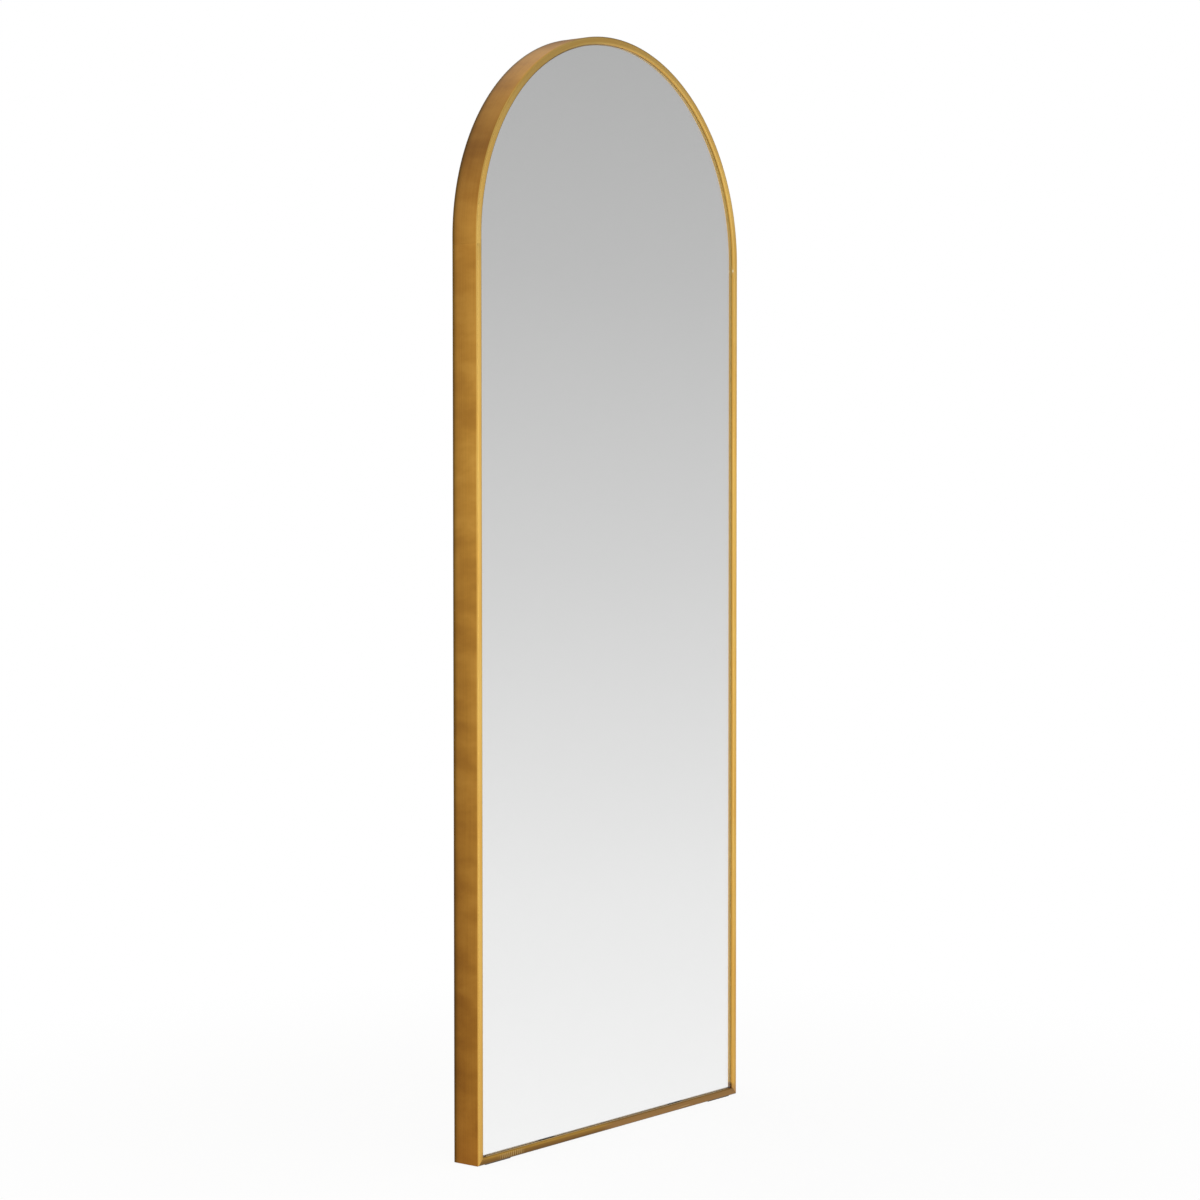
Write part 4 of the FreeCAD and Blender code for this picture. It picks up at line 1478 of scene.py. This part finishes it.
@dataclass
class HangerRings:
    """The three wire rings that swing in their straps.

    Attributes:
        wire: Radius of the wire.
        half_span: Half the ring's width at the wire's centre line.
        length: From the swing axis to the bow's centre line.
        bend: Radius of its two upper corners at the centre line.
        pivot_back: Y of the swing axis.
        tilt: How far the ring leans back at rest, in radians.
    """

    wire: float = 1.75 * MM
    half_span: float = 11.75 * MM
    length: float = 20.0 * MM
    bend: float = 3.5 * MM
    pivot_back: float = -4.5 * MM
    tilt: float = math.radians(4.25)

    def loop(self) -> tuple[Array, Array]:
        """The wire's closed centre line in the ring's own plane.

        A bar on the swing axis, a quarter circle at each end of it, two legs, and a half
        circle as wide as the ring between their lower ends.

        Returns:
            Places (n, 2) as sideways and down, and the outward normals (n, 2).
        """
        corner = np.radians(np.linspace(90, 0, 11))
        bow = np.radians(np.linspace(0, 180, 49))
        right = np.stack([np.cos(corner), -np.sin(corner)], axis=1)
        low = np.stack([np.cos(bow), np.sin(bow)], axis=1)
        left = (right * [-1, 1])[::-1]
        inset = self.half_span - self.bend
        line = np.concatenate([right * self.bend + [inset, self.bend],
                               low * self.half_span + [0.0, self.length - self.half_span],
                               left * self.bend + [-inset, self.bend]])
        return line, np.concatenate([right, low, left])

    def wire_grid(self, x: float, z: float) -> Array:
        """The wire's surface: a circle carried round the closed centre line.

        Args:
            x: Middle of the ring.
            z: Height of the swing axis.

        Returns:
            Points (rows, columns, 3), wrapping both ways.
        """
        line, normals = self.loop()
        down = np.array([0.0, math.sin(self.tilt), -math.cos(self.tilt)])
        flat = np.array([0.0, math.cos(self.tilt), math.sin(self.tilt)])
        across = np.array([1.0, 0.0, 0.0])
        centre = (np.array([x, self.pivot_back, z]) + line[:, :1] * across
                  + line[:, 1:] * down)[:, None, :]
        outward = (normals[:, :1] * across + normals[:, 1:] * down)[:, None, :]
        angle = np.linspace(0, TAU, 24, endpoint=False)[None, :, None]
        return centre + self.wire * (np.cos(angle) * outward + np.sin(angle) * flat)

    def build(self, zinc: bpy.types.Material) -> None:
        """Makes the three rings, each on its own body.

        Args:
            zinc: Their finish.
        """
        for place in RING_PLACES:
            shell = Shell(place.node + "_wire")
            shell.add(self.wire_grid(place.x, place.z), wraps=(True, True))
            shell.build(place.body, Slot.ZINC_PLATE, [zinc], (place.node,), crease=60.0)


# ---------------------------------------------------------------- studio


def grey(level: float) -> Colour:
    """A neutral colour."""
    return (level, level, level)


@dataclass(frozen=True)
class Glow:
    """A soft round patch of the surroundings.

    Attributes:
        bearing: Its middle, in degrees from -Y towards +X.
        wide: Degrees from its middle to where it ends.
        core: Degrees from its middle to where it starts to fade.
        colour: Its colour.
        strength: How much it covers what lies behind it.
    """

    bearing: float
    wide: float
    core: float
    colour: Colour = grey(1.0)
    strength: float = 1.0

    def share(self, s: Shades, way: Socket) -> Socket:
        """How much of a direction it covers: a soft step of the angle off its middle.

        Args:
            s: The world's nodes.
            way: Direction looked in.

        Returns:
            The share's socket.
        """
        turn = math.radians(self.bearing)
        middle = (math.sin(turn), -math.cos(turn), 0.0)
        dot = s.add("VectorMath", {0: way, 1: middle}, operation="DOT_PRODUCT").outputs["Value"]
        return s.step(dot, math.cos(math.radians(self.wide)), math.cos(math.radians(self.core)),
                      0.0, self.strength)


@dataclass
class Studio:
    """The pale floor, the soft light all round, one overhead lamp and the camera.

    Attributes:
        place: Where the camera stands.
        heading: Its turn from +Y towards +X, in radians.
        pitch: Its tilt upwards, in radians.
        roll: Its turn about its own axis, in radians.
        lens: Focal length in millimetres on a 36 mm sensor.
        sensor: Width of that sensor in millimetres.
        lamp_place: Where the overhead lamp hangs.
        lamp_width: Its diameter.
        lamp_watts: Its power.
        front: The surroundings in front, by height from straight down to straight up.
        back: The surroundings at the left and back, by the same height.
        back_side: Where those lie.
        glows: The patches over both.
    """

    place: Point = (-3.6114, -2.8477, 1.0287)
    heading: float = 0.90231
    pitch: float = -0.03494
    roll: float = 0.0004
    lens: float = 84.353
    sensor: float = 36.0
    lamp_place: Point = (-0.4, -0.5, 3.4)
    lamp_width: float = 2.6
    lamp_watts: float = 32.0
    front: Stops = (
        (0.0, grey(0.95)), (0.38, grey(0.97)), (0.43, grey(0.86)), (0.49, grey(0.67)),
        (0.54, grey(0.535)), (0.585, grey(0.45)), (0.68, grey(0.48)), (1.0, (0.72, 0.71, 0.69)))
    back: Stops = (
        (0.0, grey(0.34)), (0.40, grey(0.52)), (0.50, (0.68, 0.68, 0.67)),
        (0.60, (0.82, 0.81, 0.79)), (0.80, (0.78, 0.77, 0.75)), (1.0, (0.72, 0.71, 0.69)))
    back_side: Glow = Glow(-140.0, 105.0, 50.0)
    glows: tuple[Glow, ...] = (
        Glow(-58.0, 50.0, 15.0, (1.15, 1.12, 1.06), 0.55),
        Glow(29.0, 19.0, 10.0, (1.86, 1.81, 1.71), 0.95),
        Glow(107.0, 50.0, 28.0, (0.20, 0.18, 0.17), 0.95))

    def camera(self) -> None:
        """Makes the camera and hands it to the scene."""
        data = bpy.data.cameras.new("camera")
        data.lens, data.sensor_width = self.lens, self.sensor
        data.clip_start, data.clip_end = 0.05, 100.0
        camera = bpy.data.objects.new("camera", data)
        camera.location = self.place
        camera.rotation_euler = (math.pi / 2 + self.pitch, self.roll, -self.heading)
        bpy.context.scene.collection.objects.link(camera)
        bpy.context.scene.camera = camera

    def floor(self) -> None:
        """A pale disc: rings of growing radius, white for the camera away from the object."""
        angle = np.linspace(0, TAU, 64, endpoint=False)[None, :]
        reach = np.array([0.0, 0.5, 1.0, 2.0, 4.0, 8.0, 20.0, 40.0])[:, None]
        grid = np.stack([reach * np.cos(angle), reach * np.sin(angle), 0 * reach * angle],
                        axis=-1)
        shell = Shell("floor")
        shell.add(grid, wraps=(False, True))
        mesh = shell.mesh()
        mesh.materials.append(new_material("studio_floor", self.paint_floor))
        floor = bpy.data.objects.new("floor", mesh)
        bpy.context.scene.collection.objects.link(floor)
        floor.visible_glossy = floor.visible_transmission = False

    def paint_floor(self, s: Shades) -> None:
        """Adds the floor's nodes: matt, with plain white over it for camera rays only.

        Args:
            s: The material's nodes.
        """
        place = s.place()
        reach = s.add("VectorMath", {0: place}, operation="LENGTH").outputs["Value"]
        grain = s.noise(place, 40.0, 4.0)
        matt = s.add("BsdfDiffuse", {"Color": s.mix(grain, (0.86, 0.86, 0.855),
                                                    (0.89, 0.89, 0.885))}).outputs[0]
        white = s.add("Emission", {"Color": grey(1.0), "Strength": 1.0}).outputs[0]
        seen = s.add("LightPath").outputs["Is Camera Ray"]
        share = s.sum("MULTIPLY", seen, s.step(reach, 0.5, 1.6, 0.92, 1.0))
        mixed = s.add("MixShader", {0: share, 1: matt, 2: white}).outputs[0]
        s.add("OutputMaterial", {"Surface": mixed})

    def light(self) -> None:
        """Makes the world's soft light and the overhead lamp."""
        world = bpy.data.worlds.new("studio")
        bpy.context.scene.world = world
        world.use_nodes = True
        self.paint_world(Shades(world.node_tree))
        data = bpy.data.lights.new("overhead_softbox", "AREA")
        data.shape, data.size, data.energy = "DISK", self.lamp_width, self.lamp_watts
        lamp = bpy.data.objects.new("overhead_softbox", data)
        lamp.location = self.lamp_place
        lamp.rotation_euler = (math.radians(-8), math.radians(-7), 0.0)
        lamp.visible_glossy = lamp.visible_transmission = lamp.visible_camera = False
        bpy.context.scene.collection.objects.link(lamp)

    def paint_world(self, s: Shades) -> None:
        """Adds the world's nodes.

        White for camera rays. Otherwise a graded grey in front, near white below, darkest
        above the horizon and paler overhead, another at the left and back, brightest just
        above the horizon, and three soft patches: bright ones left and right of the front,
        a dark one at the right.

        Args:
            s: The world's nodes.
        """
        way = s.add("TexCoord").outputs["Generated"]
        height = s.sum("MULTIPLY_ADD", s.axis(way, "Z"), 0.5, 0.5)
        lit = s.mix(self.back_side.share(s, way), s.ramp(height, self.front),
                    s.ramp(height, self.back))
        for glow in self.glows:
            lit = s.mix(glow.share(s, way), lit, glow.colour)
        seen = s.add("LightPath").outputs["Is Camera Ray"]
        colour = s.mix(seen, lit, grey(1.0))
        sky = s.add("Background", {"Color": colour, "Strength": 1.0}).outputs[0]
        s.add("OutputWorld", {"Surface": sky})

    def build(self) -> None:
        """Makes the camera, the floor and the light."""
        self.camera()
        self.floor()
        self.light()


def corners(box: tuple) -> list[list[float]]:
    """A box's lowest and highest corner as plain lists."""
    return [[float(v) for v in corner] for corner in box]


def main() -> None:
    """Builds every piece in order and reports it."""
    logging.basicConfig(level=logging.INFO, format="%(message)s", stream=sys.stdout)
    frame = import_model()
    bpy.context.scene.view_settings.view_transform = "Standard"
    Studio().build()
    brass, rail_brass = BrushedBrass("tube_brass").material(), RailBrass().material()
    plate_brass = BrushedBrass("tab_brass", grain=Grain.PLATE).material()
    zinc = ZincPlate().material()
    rubber = Rubber().material()
    steel = BareSteel().material()
    FrameTubes().build(brass, rail_brass)
    SilveredPane().build(ClearGlass().material(), Silvering().material(),
                         EdgeSealAndReflection().material())
    TabFixings().build(plate_brass, zinc)
    WallBumpers().build(ClearRubber().material())
    HangerRings().build(zinc)
    finishes = {
        "backing_board": Fibreboard().material(), "silver_film": WovenFilm().material(),
        "mounting_tape": Foam().material(), "setting_blocks": rubber, "floor_pads": rubber,
        "left_splice_sleeve": steel, "right_splice_sleeve": steel,
        "arch_tabs": plate_brass, "left_tabs": plate_brass, "right_tabs": plate_brass,
        "bottom_tabs": plate_brass, "left_hanger_strap": zinc, "right_hanger_strap": zinc,
        "tether_strap": zinc,
    }
    for name, material in finishes.items():
        dress_node(frame, name, material)


if __name__ == "__main__":
    main()
